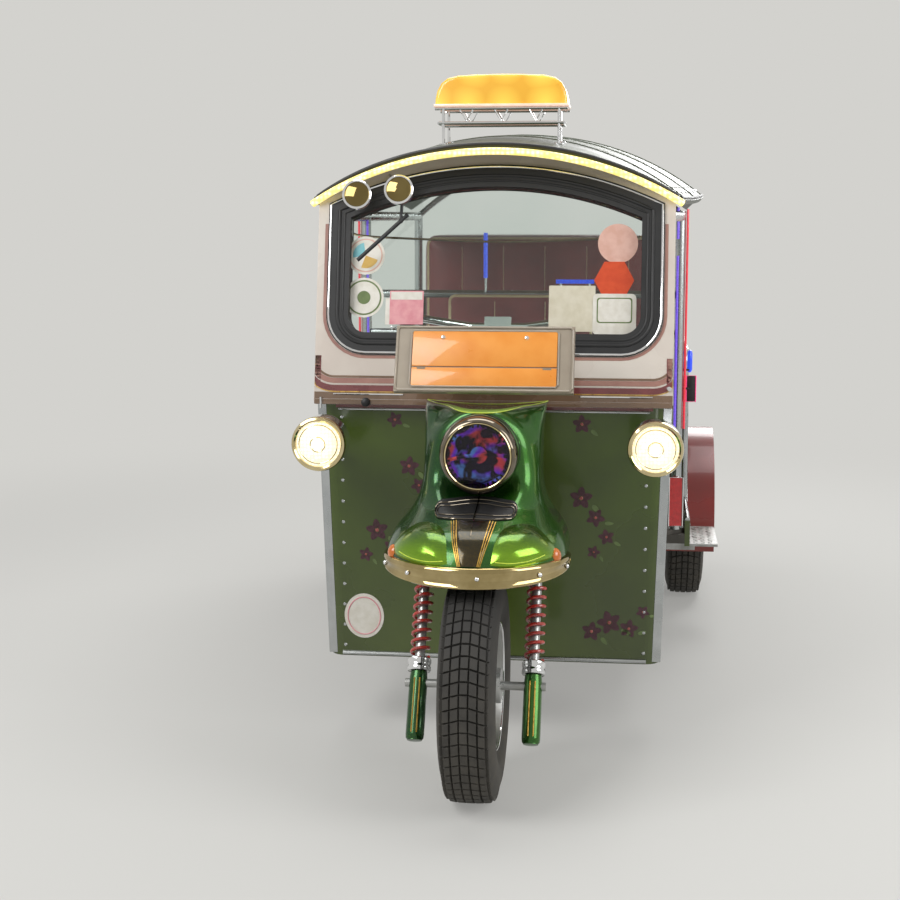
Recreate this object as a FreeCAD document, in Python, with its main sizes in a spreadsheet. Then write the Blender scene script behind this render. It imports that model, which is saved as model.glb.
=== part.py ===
"""Three-wheeled auto rickshaw: open passenger cab, raked front fork, live rear axle.

Millimetres and degrees. +Z is up, the front looks along -Y, +X is the vehicle's left side.
The origin is on the ground, at the centre of the whole vehicle's box.
"""
import FreeCAD, Part
import Sketcher
import math
import os
import re

Vector = FreeCAD.Vector
Rotation = FreeCAD.Rotation
Placement = FreeCAD.Placement
ALONG_X = Vector(1, 0, 0)
BACKWARD = Vector(0, 1, 0)
UPWARD = Vector(0, 0, 1)

# Driving sizes: alias, value.
SIZES = [
    ("overall_length", 3020), ("wheelbase", 2200), ("nose_reach", 420),
    ("fit_gap", 0.3), ("shaft_clearance", 0.05), ("moving_gap", 6),
    ("tyre_radius", 270), ("tyre_width", 132), ("rim_radius", 152), ("rim_width", 104),
    ("tread_width", 96), ("bead_width", 100), ("bead_height", 62),
    ("hub_radius", 46), ("front_hub_width", 120), ("rear_hub_width", 90), ("disc_thickness", 6),
    ("vent_circle", 200), ("vent_hole", 34), ("vent_count", 8),
    ("wheel_outset", 4), ("stub_radius", 20), ("front_pin_radius", 10),
    ("rake", 30), ("head_height", 800), ("stem_radius", 17), ("head_tube_radius", 28),
    ("head_tube_low", 222), ("head_tube_high", 60), ("bar_height", 289),
    ("gusset_width", 24), ("column_width", 90),
    ("leg_spacing", 268), ("leg_radius", 17), ("inner_leg_radius", 12), ("leg_drop", 135),
    ("collar_radius", 25), ("collar_height", 30), ("stay_width", 100),
    ("spring_radius", 20), ("spring_wire", 4), ("spring_pitch", 20), ("spring_length", 270), ("coil_runs", 12),
    ("spring_seat", 58), ("crown_thickness", 32), ("crown_drop", 265),
    ("mask_wall", 6), ("mask_drop", 225), ("vent_drop", 122), ("vent_half", 95),
    ("vent_rise", 22), ("vent_rim", 12),
    ("headlight_radius", 93), ("headlight_reach", 362),
    ("headlight_depth", 130), ("lens_radius", 80), ("lens_bulge", 14),
    ("lip_height", 42), ("lip_width", 9),
    ("bar_radius", 11), ("bar_half", 270), ("bar_sweep", 200),
    ("grip_radius", 17), ("grip_length", 115),
    ("panel_low", 206), ("panel_over_head", 78), ("panel_low_half", 430), ("panel_high_half", 448),
    ("panel_lean", 30), ("panel_wall", 10), ("panel_return", 190), ("panel_corner", 40),
    ("slot_half", 80), ("slot_drop", 260),
    ("belt_reach", 50), ("screen_lean", 12), ("screen_wall", 45),
    ("screen_half", 450), ("roof_edge", 1386), ("roof_front_crown", 1519), ("belt_flange", 14),
    ("window_half", 405), ("window_over_panel", 142), ("window_shoulder", 1368), ("window_high", 1458),
    ("window_corner", 84),
    ("seal_width", 38), ("seal_lip", 18), ("seal_proud", 5), ("glass_thickness", 5),
    ("roof_half", 473), ("roof_outset", 20), ("roof_wall", 16), ("roof_edge_y", 60),
    ("roof_apex_y", -20), ("roof_mid_crown", 1592), ("roof_rear_crown", 1575), ("roof_overhang", 60),
    ("strip_radius", 9),
    ("sign_half", 176), ("sign_low", 1632), ("sign_high", 1712), ("sign_depth", 130), ("sign_y", 200),
    ("rack_thickness", 12), ("rack_foot", 8),
    ("floor_top", 385), ("floor_thickness", 15), ("floor_half", 428),
    ("cab_length", 960), ("foot_well", 440), ("tub_half", 530), ("tub_wall", 16),
    ("tub_low", 330), ("tub_high", 800), ("tub_front_high", 690), ("sill_high", 410), ("rear_wall_high", 1040),
    ("seat_high", 640), ("seat_inset", 90), ("board", 16),
    ("arch_radius", 322), ("arch_wall", 8), ("arch_room", 16), ("arch_cover", 20), ("arch_lip", 22),
    ("rail_spacing", 560), ("rail_width", 40), ("rail_height", 70), ("kick_up", 100),
    ("axle_radius", 32), ("diff_radius", 100), ("diff_offset", 60),
    ("leaf_width", 40), ("leaf_thickness", 7), ("leaf_count", 4), ("leaf_half", 300), ("leaf_rise", 60),
    ("post_radius", 16), ("cant_radius", 15), ("post_inset", 46), ("hoop_radius", 11),
    ("side_rail_radius", 10), ("side_rail_bend", 40),
    ("engine_length", 460), ("engine_width", 400), ("engine_low", 270), ("engine_high", 640),
    ("output_height", 300),
    ("cover_half", 240), ("cover_high", 690), ("cover_front", 410), ("cover_length", 520),
    ("shaft_radius", 22), ("tank_radius", 108), ("tank_cone", 36), ("tank_behind", 300),
    ("silencer_radius", 55), ("silencer_length", 300), ("pipe_radius", 16), ("pipe_bend", 28),
    ("plate_half", 214), ("plate_height", 166), ("plate_over_panel", 58), ("plate_reach", 262),
    ("plate_lean", 24), ("plate_thickness", 16),
    ("lamp_radius", 65), ("lamp_x", 408), ("lamp_under_panel", 80), ("lamp_reach", 206), ("lamp_depth", 75),
    ("lamp_wall", 8), ("lamp_arm", 14),
    ("mirror_radius", 36), ("mirror_reach", 72), ("mirror_arm", 4),
    ("tail_lamp_radius", 42), ("tail_lamp_x", 400), ("marker_height", 150),
    ("bumper_radius", 10), ("bumper_inset", 60), ("bumper_stub", 7),
    ("step_length", 300), ("step_width", 150), ("step_high", 324), ("step_thickness", 8),
    ("bracket_width", 24), ("bracket_depth", 20),
    ("cushion_high", 150), ("back_deep", 130), ("back_high", 1290),
    ("driver_seat_half", 230), ("driver_seat_high", 90), ("driver_seat_deep", 400),
]

# Places worked out from the sizes.
PLACES = {
    "front_axle_y": "(tyre_radius - overall_length / 2)",
    "panel_y": "(front_axle_y + nose_reach)",
    "rear_axle_y": "(front_axle_y + wheelbase)",
    "tail_y": "(overall_length / 2)",
    "tub_y": "(panel_y + cab_length)",
    "seat_y": "(tub_y + foot_well)",
    "engine_y": "(panel_y + cover_front + 30)",
    "back_wall_y": "(tail_y - 45)",
    "fork_offset": "(nose_reach * cos(rake) - (head_height - tyre_radius) * sin(rake))",
    "axle_drop": "(nose_reach * sin(rake) + (head_height - tyre_radius) * cos(rake))",
    "raised_rail": "(floor_top - floor_thickness + kick_up)",
    "rail_low": "(floor_top - floor_thickness - rail_height)",
    "wheel_x": "(tub_half + wheel_outset)",
    "headlight_height": "head_height",
    "mask_base": "(head_height - mask_drop)",
    "vent_height": "(head_height - vent_drop)",
    "slot_low": "(head_height - slot_drop)",
    "panel_high": "(head_height + panel_over_head)",
    "window_low": "(panel_high + window_over_panel)",
    "plate_low": "(panel_high + plate_over_panel)",
    "lamp_height": "(panel_high - lamp_under_panel)",
    "roof_rear_half": "(tub_half + roof_outset)",
    "post_half": "(tub_half - post_inset)",
    "seat_half": "(tub_half - seat_inset)",
    "arch_inner": "(wheel_x - tyre_width / 2 - arch_room)",
    "arch_outer": "(wheel_x + tyre_width / 2 + arch_cover)",
    "seat_top": "(seat_high + cushion_high)",
    "belt_low": "(panel_high + fit_gap)",
    "rear_post_half": "(tub_half - tub_wall - post_radius - fit_gap)",
    "partition_high": "(cover_high + 420)",
}

doc = FreeCAD.newDocument("auto_rickshaw")
sheet = doc.addObject("Spreadsheet::Sheet", "Sizes")
for row, (alias, value) in enumerate(SIZES, start=1):
    sheet.set("A%d" % row, alias.replace("_", " "))
    sheet.set("B%d" % row, str(value))
    sheet.setAlias("B%d" % row, alias)
doc.recompute()
ALIASES = {alias for alias, value in SIZES}
nodes = []


def formula(text):
    """The expression with every named place opened and every size read from the sheet."""
    text = str(text)
    while any(re.search(r"\b%s\b" % name, text) for name in PLACES):
        for name, meaning in PLACES.items():
            text = re.sub(r"\b%s\b" % name, meaning, text)
    return re.sub(r"\b[a-z_]+\b", lambda m: "Sizes." + m.group() if m.group() in ALIASES else m.group(), text)


def size(text):
    """A number worked out from the sheet."""
    return float(sheet.evalExpression(formula(text)))


def point(x, y, z):
    return Vector(size(x), size(y), size(z))


def bind(item, **expressions):
    """Ties properties to the sheet; Base_x stands for Placement.Base.x."""
    for name, text in expressions.items():
        item.setExpression(name.replace("Base_", "Placement.Base."), formula(text))


def box(name, x, y, z, length, width, height):
    item = doc.addObject("Part::Box", name)
    bind(item, Length=length, Width=width, Height=height, Base_x=x, Base_y=y, Base_z=z)
    return item


def centred_box(name, half, y, z, width, height):
    return box(name, "-(%s)" % half, y, z, "2 * (%s)" % half, width, height)


TURNS = {"x": Rotation(BACKWARD, 90), "y": Rotation(ALONG_X, -90), "z": Rotation()}


def rod(name, axis, x, y, z, radius, length):
    """A round bar that starts at the given place and runs along a main axis."""
    item = doc.addObject("Part::Cylinder", name)
    item.Placement = Placement(Vector(), TURNS[axis])
    bind(item, Radius=radius, Height=length, Base_x=x, Base_y=y, Base_z=z)
    return item


def joined(name, parts):
    item = doc.addObject("Part::MultiFuse", name)
    item.Shapes = parts
    return item


def together(name, parts):
    """Pieces of one node that touch and stay solids of their own."""
    item = doc.addObject("Part::Compound", name)
    item.Links = parts
    return item


def less(name, base, tool):
    item = doc.addObject("Part::Cut", name)
    item.Base = base
    item.Tool = tool
    return item


def mirrored(name, source):
    item = doc.addObject("Part::Mirroring", name)
    item.Source = source
    item.Normal = ALONG_X
    return item


def both_sides(name, source):
    return joined(name, [source, mirrored(name + "_twin", source)])


def solid_feature(name, shape):
    """A piece whose form neither a primitive nor a sketch gives."""
    item = doc.addObject("Part::Feature", name)
    item.Shape = shape
    return item


def keep(item, label):
    """Marks an object as a finished sub-part."""
    item.Label = label
    nodes.append(item)
    return item


def sketch_on(body, plane, name, corners):
    """Closed outline of straight runs; each corner is a pair of expressions."""
    sketch = body.newObject("Sketcher::SketchObject", name)
    origin = [f for f in body.Origin.OriginFeatures if f.Role == plane][0]
    sketch.AttachmentSupport = [(origin, "")]
    sketch.MapMode = "FlatFace"
    places = [Vector(size(a), size(b), 0) for a, b in corners]
    count = len(places)
    for i in range(count):
        sketch.addGeometry(Part.LineSegment(places[i], places[(i + 1) % count]), False)
    for i in range(count):
        sketch.addConstraint(Sketcher.Constraint("Coincident", i, 2, (i + 1) % count, 1))
    for i, (across, upward) in enumerate(corners):
        for kind, text, number in (("DistanceX", across, places[i].x), ("DistanceY", upward, places[i].y)):
            at = sketch.addConstraint(Sketcher.Constraint(kind, -1, 1, i, 1, number))
            sketch.setExpression("Constraints[%d]" % at, formula(text))
    return sketch


def padded_body(name, plane, corners, thickness, offset="0"):
    """A body made from one outline, thickened evenly about its plane, then moved along the normal."""
    body = doc.addObject("PartDesign::Body", name)
    sketch = sketch_on(body, plane, name + "_outline", corners)
    pad = body.newObject("PartDesign::Pad", name + "_pad")
    pad.Profile = sketch
    pad.Midplane = True
    bind(pad, Length=thickness)
    normal = {"XY_Plane": "z", "YZ_Plane": "x", "XZ_Plane": "y"}[plane]
    bind(body, **{"Base_" + normal: offset})
    return body


def turned_body(name, corners):
    """A body of revolution about X; corners are pairs of distance along X and radius."""
    body = doc.addObject("PartDesign::Body", name)
    sketch = sketch_on(body, "XY_Plane", name + "_outline", corners)
    turn = body.newObject("PartDesign::Revolution", name + "_turn")
    turn.Profile = sketch
    turn.ReferenceAxis = (sketch, ["H_Axis"])
    turn.Angle = 360
    return body


def tube_run(corners, radius, bend):
    """A tube through corner points, with one tangent arc at each inner corner."""
    edges = []
    start = corners[0]
    for i in range(1, len(corners) - 1):
        before = (corners[i - 1] - corners[i]).normalize()
        after = (corners[i + 1] - corners[i]).normalize()
        half = before.getAngle(after) / 2
        reach = bend / math.tan(half)
        inward = (before + after).normalize()
        first = corners[i] + before * reach
        last = corners[i] + after * reach
        middle = corners[i] + inward * (bend / math.sin(half) - bend)
        edges.append(Part.LineSegment(start, first).toShape())
        edges.append(Part.Arc(first, middle, last).toShape())
        start = last
    edges.append(Part.LineSegment(start, corners[-1]).toShape())
    path = Part.Wire(edges)
    ring = Part.Wire([Part.Circle(corners[0], corners[1] - corners[0], radius).toShape()])
    return path.makePipeShell([ring], True, False)


def bar_between(start, end, radius):
    return Part.makeCylinder(radius, (end - start).Length, start, end - start)


def rounded_slab(half_width, low, high, corner, front, back):
    """Rounded rectangular slab facing the front."""
    block = Part.makeBox(2 * half_width, back - front, high - low, Vector(-half_width, front, low))
    edges = [e for e in block.Edges if abs(e.tangentAt(e.FirstParameter).y) > 0.99]
    return block.makeFillet(corner, edges)


def soft_block(low, high, edge):
    """A plain cushion block with rounded edges."""
    block = Part.makeBox(high.x - low.x, high.y - low.y, high.z - low.z, low)
    return block.makeFillet(edge, block.Edges)


# Chassis frame: two rails kicked up over the axle, with cross members.
rail = padded_body("rail_left", "YZ_Plane", [
    ("panel_y + 60", "rail_low"), ("seat_y - 12", "rail_low"), ("seat_y + 62", "rail_low + kick_up"),
    ("back_wall_y - fit_gap", "rail_low + kick_up"), ("back_wall_y - fit_gap", "raised_rail"),
    ("seat_y + 92", "raised_rail"), ("seat_y + 22", "raised_rail - kick_up"),
    ("panel_y + 60", "raised_rail - kick_up")], "rail_width", "rail_spacing / 2")
rails = both_sides("rails", rail)
crossings = []
# Cross members: place along the vehicle, low face, half length, height.
for index, (along, low, half, height) in enumerate([
        ("panel_y + 60", "rail_low", "panel_low_half - 20", "rail_height"),
        ("engine_y - rail_width - fit_gap", "rail_low", "rail_spacing / 2", "rail_height"),
        ("tub_y - 20", "rail_low + rail_height - 28", "tub_half - tub_wall - fit_gap", "28"),
        ("seat_y - 52", "rail_low + rail_height - 28", "tub_half - tub_wall - fit_gap", "28"),
        ("back_wall_y - rail_width - fit_gap", "rail_low + kick_up", "rail_spacing / 2", "rail_height")]):
    crossings.append(centred_box("cross_member_%d" % index, half, along, low, "rail_width", height))
keep(joined("chassis", [rails] + crossings), "chassis_frame")

# Floor sheet, open where the engine stands.
floor = padded_body("floor", "XY_Plane", [
    ("-floor_half + 20", "panel_y + 45"), ("floor_half - 20", "panel_y + 45"),
    ("floor_half", "tub_y - 60"), ("tub_half - tub_wall - fit_gap", "tub_y + 20"),
    ("tub_half - tub_wall - fit_gap", "seat_y + board"), ("-tub_half + tub_wall + fit_gap", "seat_y + board"),
    ("-tub_half + tub_wall + fit_gap", "tub_y + 20"), ("-floor_half", "tub_y - 60")],
    "floor_thickness", "floor_top - floor_thickness / 2")
well = centred_box("engine_well", "engine_width / 2 + 15", "panel_y + cover_front + 15",
                   "floor_top - 2 * floor_thickness", "cover_length - 30", "4 * floor_thickness")
keep(less("floor_sheet", floor, well), "floor_pan")

# Engine block and the box over it, which carries the driver's seat.
keep(centred_box("engine", "engine_width / 2", "engine_y", "engine_low",
                 "engine_length", "engine_high - engine_low"), "engine_block")
cover_shell = centred_box("cover_shell", "cover_half", "panel_y + cover_front", "floor_top",
                          "cover_length", "cover_high - floor_top")
cover_hollow = centred_box("cover_hollow", "cover_half - 8", "panel_y + cover_front + 8", "floor_top - 1",
                           "cover_length - 16", "cover_high - floor_top - 7")
keep(less("cover", cover_shell, cover_hollow), "engine_cover")


# Front panel: one sheet bent round both corners, with a slot for the steering head.
def panel_section(half, front, z, wall):
    """Plan outline of the panel at one height, as a closed wire."""
    corner = size("panel_corner")
    back = size("panel_y + panel_return")
    bend = 1 - math.sqrt(0.5)

    def side(inset):
        reach = half - inset
        radius = corner - inset
        y = front + inset
        return [Vector(-reach, back, z), Vector(-reach, y + radius, z),
                Vector(-reach + radius * bend, y + radius * bend, z), Vector(-reach + radius, y, z),
                Vector(reach - radius, y, z), Vector(reach - radius * bend, y + radius * bend, z),
                Vector(reach, y + radius, z), Vector(reach, back, z)]

    outer = side(0)
    inner = side(wall)

    def run(p):
        return [Part.LineSegment(p[0], p[1]).toShape(), Part.Arc(p[1], p[2], p[3]).toShape(),
                Part.LineSegment(p[3], p[4]).toShape(), Part.Arc(p[4], p[5], p[6]).toShape(),
                Part.LineSegment(p[6], p[7]).toShape()]

    edges = run(outer) + [Part.LineSegment(outer[7], inner[7]).toShape()]
    edges += run(inner[::-1]) + [Part.LineSegment(inner[0], outer[0]).toShape()]
    return Part.Wire(edges)


panel_skin = Part.makeLoft([
    panel_section(size("panel_low_half"), size("panel_y + panel_lean"), size("panel_low"), size("panel_wall")),
    panel_section(size("panel_high_half"), size("panel_y"), size("panel_high"), size("panel_wall"))], True, True)
slot = Part.makeBox(2 * size("slot_half"), 200, size("panel_high - slot_low + 20"),
                    point("-slot_half", "panel_y - 60", "slot_low"))
keep(solid_feature("panel", panel_skin.cut(slot)), "front_panel")

# Windscreen frame: a leaning slab with an arched head and window, on a flange over the panel's edge.
lean_turn = Placement(point("0", "panel_y - belt_reach", "belt_low"), Rotation(ALONG_X, -size("screen_lean")))
slope = math.cos(math.radians(size("screen_lean")))
gap = size("fit_gap")


def up_slope(height, ahead=0):
    """Distance along the leaning slab for a height above ground, of a point that far ahead of its face."""
    return (size(height) - size("belt_low") - ahead * math.sin(math.radians(size("screen_lean")))) / slope


def window_solid(grow, front, back):
    """The window's outline, grown all round: round lower corners and an arched head."""
    half = size("window_half")
    shoulder = up_slope("window_shoulder")
    rise = up_slope("window_high") - shoulder
    radius = (half ** 2 + rise ** 2) / (2 * rise)
    centre = shoulder + rise - radius
    half += grow
    radius += grow
    side_top = centre + math.sqrt(radius ** 2 - half ** 2)
    low = up_slope("window_low") - grow
    corner = size("window_corner") + grow
    bend = corner * (1 - math.sqrt(0.5))

    def at(x, z):
        return Vector(x, front, z)

    edges = [Part.LineSegment(at(-half + corner, low), at(half - corner, low)),
             Part.Arc(at(half - corner, low), at(half - bend, low + bend), at(half, low + corner)),
             Part.LineSegment(at(half, low + corner), at(half, side_top)),
             Part.Arc(at(half, side_top), at(0, centre + radius), at(-half, side_top)),
             Part.LineSegment(at(-half, side_top), at(-half, low + corner)),
             Part.Arc(at(-half, low + corner), at(-half + bend, low + bend), at(-half + corner, low))]
    wire = Part.Wire([edge.toShape() for edge in edges])
    return Part.Face(wire).extrude(Vector(0, back - front, 0))


def leaning(name, shape):
    item = solid_feature(name, shape)
    item.Placement = lean_turn
    return item


# Roof: arched shell, narrow at the front and wider over the passengers.
def roof_arc(half, edge, crown, y, inset):
    """Arc of the roof's section, moved inwards about the same centre."""
    rise = crown - edge
    radius = (half ** 2 + rise ** 2) / (2 * rise)
    centre = crown - radius
    side = half * (radius - inset) / radius
    low = centre + (edge - centre) * (radius - inset) / radius
    return Part.Arc(Vector(side, y, low), Vector(0, y, crown - inset), Vector(-side, y, low))


def roof_section(half, edge, crown, y):
    outer = roof_arc(half, edge, crown, y, 0)
    inner = roof_arc(half, edge, crown, y, size("roof_wall"))
    return Part.Wire([outer.toShape(), Part.LineSegment(outer.EndPoint, inner.EndPoint).toShape(),
                      inner.toShape(), Part.LineSegment(inner.StartPoint, outer.StartPoint).toShape()])


def under_roof_section(half, edge, crown, y):
    """Section of the room under the roof, which everything that carries it is trimmed to."""
    arc = roof_arc(half, edge, crown, y, size("roof_wall + fit_gap"))
    low_left = Vector(arc.EndPoint.x, y, edge - 500)
    low_right = Vector(arc.StartPoint.x, y, edge - 500)
    return Part.Wire([arc.toShape(), Part.LineSegment(arc.EndPoint, low_left).toShape(),
                      Part.LineSegment(low_left, low_right).toShape(),
                      Part.LineSegment(low_right, arc.StartPoint).toShape()])


# Roof sections: half width, edge height, crown height, place along the vehicle.
ROOF_ROWS = [("roof_half", "roof_edge", "roof_front_crown", "panel_y - roof_overhang"),
             ("roof_half + 8", "roof_edge + 6", "roof_front_crown + 44", "panel_y + 420"),
             ("roof_rear_half - 20", "roof_edge + 12", "roof_mid_crown", "tub_y"),
             ("roof_rear_half", "roof_edge + 8", "roof_rear_crown", "back_wall_y - post_radius - 4"),
             ("roof_rear_half - 6", "roof_edge", "roof_rear_crown - 12", "tail_y - 4")]
roof_rows = [[size(v) for v in row] for row in ROOF_ROWS]
roof_loft = Part.makeLoft([roof_section(*row) for row in roof_rows], True, False)
under_roof = Part.makeLoft([under_roof_section(*row) for row in roof_rows], True, False)
edge_turn = math.degrees(math.atan2(size("roof_edge_y - roof_apex_y"), size("roof_front_crown - roof_edge")))
edge_place = Placement(point("0", "panel_y + roof_edge_y", "roof_edge"), Rotation(ALONG_X, edge_turn))
cutter = Part.makeBox(2 * size("overall_length"), 600, 600, Vector(-size("overall_length"), -600, -300))
cutter.Placement = edge_place
roof_shell = roof_loft.cut(cutter)
keep(solid_feature("roof", roof_shell), "roof_shell")

# Light strip along the roof's front edge.
strip_shift = edge_place.Rotation.multVec(Vector(0, -size("strip_radius + fit_gap"), 0))


def on_edge(x, z):
    """A point on the roof's front cut plane, moved forward to the strip's centre line."""
    lean = "(roof_edge_y - roof_apex_y) / (roof_front_crown - roof_edge)"
    return point(x, "panel_y + roof_edge_y - (%s - roof_edge) * %s" % (z, lean), z) + strip_shift


strip_arc = Part.Arc(on_edge("-roof_half + 6", "roof_edge - 2"),
                     on_edge("0", "roof_front_crown - roof_wall / 2"),
                     on_edge("roof_half - 6", "roof_edge - 2"))
strip_ring = Part.Wire([Part.Circle(strip_arc.StartPoint, strip_arc.tangent(strip_arc.FirstParameter)[0],
                                    size("strip_radius")).toShape()])
keep(solid_feature("strip", Part.Wire([strip_arc.toShape()]).makePipeShell([strip_ring], True, False)),
     "light_strip")

# Windscreen frame, seal and glass.
head_box = Part.makeBox(2 * size("screen_half"), size("screen_wall"), up_slope("roof_front_crown") + 40,
                        Vector(-size("screen_half"), 0, 0))
head_box = head_box.cut(window_solid(0, -20, size("screen_wall + 20")))
head_box.Placement = lean_turn
side_trim = Part.makeBox(60, 400, 700, point("screen_half - 12", "panel_y - 100", "belt_low + 480"))
side_trim = side_trim.fuse(side_trim.mirror(Vector(), ALONG_X))
belt_outline = panel_section(size("panel_high_half + 3"), size("panel_y - 3"), size("belt_low"), 26)
belt = Part.Face(belt_outline).extrude(Vector(0, 0, size("belt_flange")))
ledge = Part.makeBox(2 * size("screen_half - 4"), size("belt_reach") + 12, size("belt_flange"),
                     point("-screen_half + 4", "panel_y - belt_reach + 2", "belt_low"))
screen_shape = head_box.common(under_roof).fuse([belt, ledge])
keep(solid_feature("screen_frame", screen_shape), "windscreen_frame")
seal_ring = window_solid(-gap, -1, size("screen_wall")).fuse(
    window_solid(size("seal_lip"), -size("seal_proud") - gap, -gap))
seal_ring = seal_ring.cut(window_solid(-size("seal_width"), -20, size("screen_wall + 20")))
keep(leaning("seal", seal_ring), "windscreen_seal")
middle = size("screen_wall / 2 - glass_thickness / 2")
keep(leaning("glass", window_solid(-size("seal_width") - gap, middle, middle + size("glass_thickness"))),
     "windscreen_glass")

# Wiper: boss on the head of the frame, arm down over the glass, blade across it.
spindle = Vector(-232, -size("seal_proud") - 2 * gap, up_slope("window_high") - 38)
arm_start = spindle + Vector(0, -18, 0)
arm_end = arm_start + Vector(-4, 0, -92)
blade_end = arm_end + Vector(-108, 0, -100)
wiper_shape = Part.makeCylinder(12, 20, spindle + Vector(0, -20, 0), BACKWARD).fuse(
    [bar_between(arm_start, arm_end, 4), Part.makeSphere(6, arm_end),
     bar_between(arm_end + Vector(18, 0, 17), blade_end, 5)])
keep(leaning("wiper_arm", wiper_shape), "wiper")

# Two round mirrors on short arms from the frame's head: seat x and height, mirror x and height.
MIRROR_ROWS = [(-345, "roof_edge + 40", -340, "roof_edge + 14"),
               (-270, "roof_edge + 64", -235, "roof_edge + 26")]
mirror_parts = []
for seat_x, seat_z, mirror_x, mirror_z in MIRROR_ROWS:
    seat = Vector(seat_x, -gap, up_slope(seat_z))
    eye = Vector(mirror_x, -size("mirror_reach"), up_slope(mirror_z, size("mirror_reach")))
    arm_room = Part.makeBox(200, 200, 200, Vector(seat_x - 100, -200 - gap, seat.z - 100))
    arm = bar_between(seat + (seat - eye).normalize() * 12, eye, size("mirror_arm")).common(arm_room)
    disc = Part.makeCylinder(size("mirror_radius"), 14, eye + Vector(0, -8, 0), BACKWARD)
    mirror_parts.append(arm.fuse(disc))
keep(leaning("mirror_pair", Part.makeCompound(mirror_parts)), "front_mirrors")

# Roof frame: cant rails, hoops and posts, trimmed to the roof and to the windscreen frame.
corner_z = "roof_edge - roof_wall - post_radius - 6"
hoop_rows = [("tub_y", "post_half", "roof_mid_crown"),
             ("back_wall_y - post_radius - 4", "rear_post_half", "roof_rear_crown")]
rail_points = [point("screen_half - 36", "panel_y + 60", corner_z)]
rail_points += [point(half, along, corner_z) for along, half, crown in hoop_rows]
tube = size("post_radius")
rails = [bar_between(start, end, size("cant_radius")) for start, end in zip(rail_points, rail_points[1:])]
rails += [rail.mirror(Vector(), ALONG_X) for rail in rails]
post_bars = [bar_between(Vector(corner.x, corner.y, size(foot)), corner + UPWARD * tube, tube)
             for corner, foot in zip(rail_points[1:], ("floor_top", "raised_rail"))]
post_bars += [post.mirror(Vector(), ALONG_X) for post in post_bars]
hoops = []
for along, half, crown in hoop_rows:
    arc = Part.Arc(point("-" + half, along, corner_z),
                   point("0", along, crown + " - roof_wall - hoop_radius + 1"),
                   point(half, along, corner_z))
    ring = Part.Wire([Part.Circle(arc.StartPoint, arc.tangent(arc.FirstParameter)[0],
                                  size("hoop_radius")).toShape()])
    hoops.append(Part.Wire([arc.toShape()]).makePipeShell([ring], True, False))
reach = size("overall_length")
low_room = Part.makeBox(reach, 2 * reach, size("roof_edge - 300"), Vector(-reach / 2, -reach, 0))
behind_screen = Part.makeBox(reach, reach, reach, Vector(-reach / 2, size("screen_wall") + gap, -reach / 2))
behind_screen.Placement = lean_turn
posts = post_bars[0].fuse(post_bars[1:] + hoops).common(under_roof.fuse(low_room))
rails = [rail.cut(posts).common(behind_screen) for rail in rails]
keep(solid_feature("posts", Part.makeCompound(posts.Solids + rails)), "roof_frame")

# Roof sign on its rack.
sign_profile = Part.Wire([
    Part.LineSegment(point("-sign_half", "0", "sign_low"), point("sign_half", "0", "sign_low")).toShape(),
    Part.Arc(point("sign_half", "0", "sign_low"), point("sign_half - 14", "0", "sign_low + 44"),
             point("sign_half - 60", "0", "sign_high - 12")).toShape(),
    Part.Arc(point("sign_half - 60", "0", "sign_high - 12"), point("0", "0", "sign_high"),
             point("-sign_half + 60", "0", "sign_high - 12")).toShape(),
    Part.Arc(point("-sign_half + 60", "0", "sign_high - 12"), point("-sign_half + 14", "0", "sign_low + 44"),
             point("-sign_half", "0", "sign_low")).toShape()])
sign_body = Part.Face(sign_profile).extrude(Vector(0, size("sign_depth"), 0))
sign_body.translate(point("0", "panel_y + sign_y", "0"))
keep(solid_feature("sign", sign_body), "roof_sign")
rack_base = centred_box("rack_base", "sign_half + 10", "panel_y + sign_y - 6", "sign_low - rack_thickness",
                        "sign_depth + 12", "rack_thickness")
feet = []
for index, x in enumerate(("-sign_half + 20", "sign_half - 20")):
    feet.append(rod("rack_foot_%d" % index, "z", x, "panel_y + sign_y + sign_depth / 2", "roof_edge + 100",
                    "rack_foot", "sign_low - roof_edge - 100 - rack_thickness / 2"))
rack = joined("rack_parts", [rack_base] + feet)
doc.recompute()
rack_shape = rack.Shape.cut(roof_shell).Solids
rack_top = max(rack_shape, key=lambda s: s.BoundBox.ZMax)
keep(solid_feature("rack", rack_top), "sign_rack")


# Wheels.
def tyre_body(name, x, y):
    """Tyre with a flat tread, leaning shoulders and sidewalls that draw in to the beads."""
    body = turned_body(name, [
        ("-bead_width / 2", "rim_radius"), ("-tyre_width / 2", "rim_radius + bead_height"),
        ("-tread_width / 2", "tyre_radius"), ("tread_width / 2", "tyre_radius"),
        ("tyre_width / 2", "rim_radius + bead_height"), ("bead_width / 2", "rim_radius")])
    bind(body, Base_x=x, Base_y=y, Base_z="tyre_radius")
    return body


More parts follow.
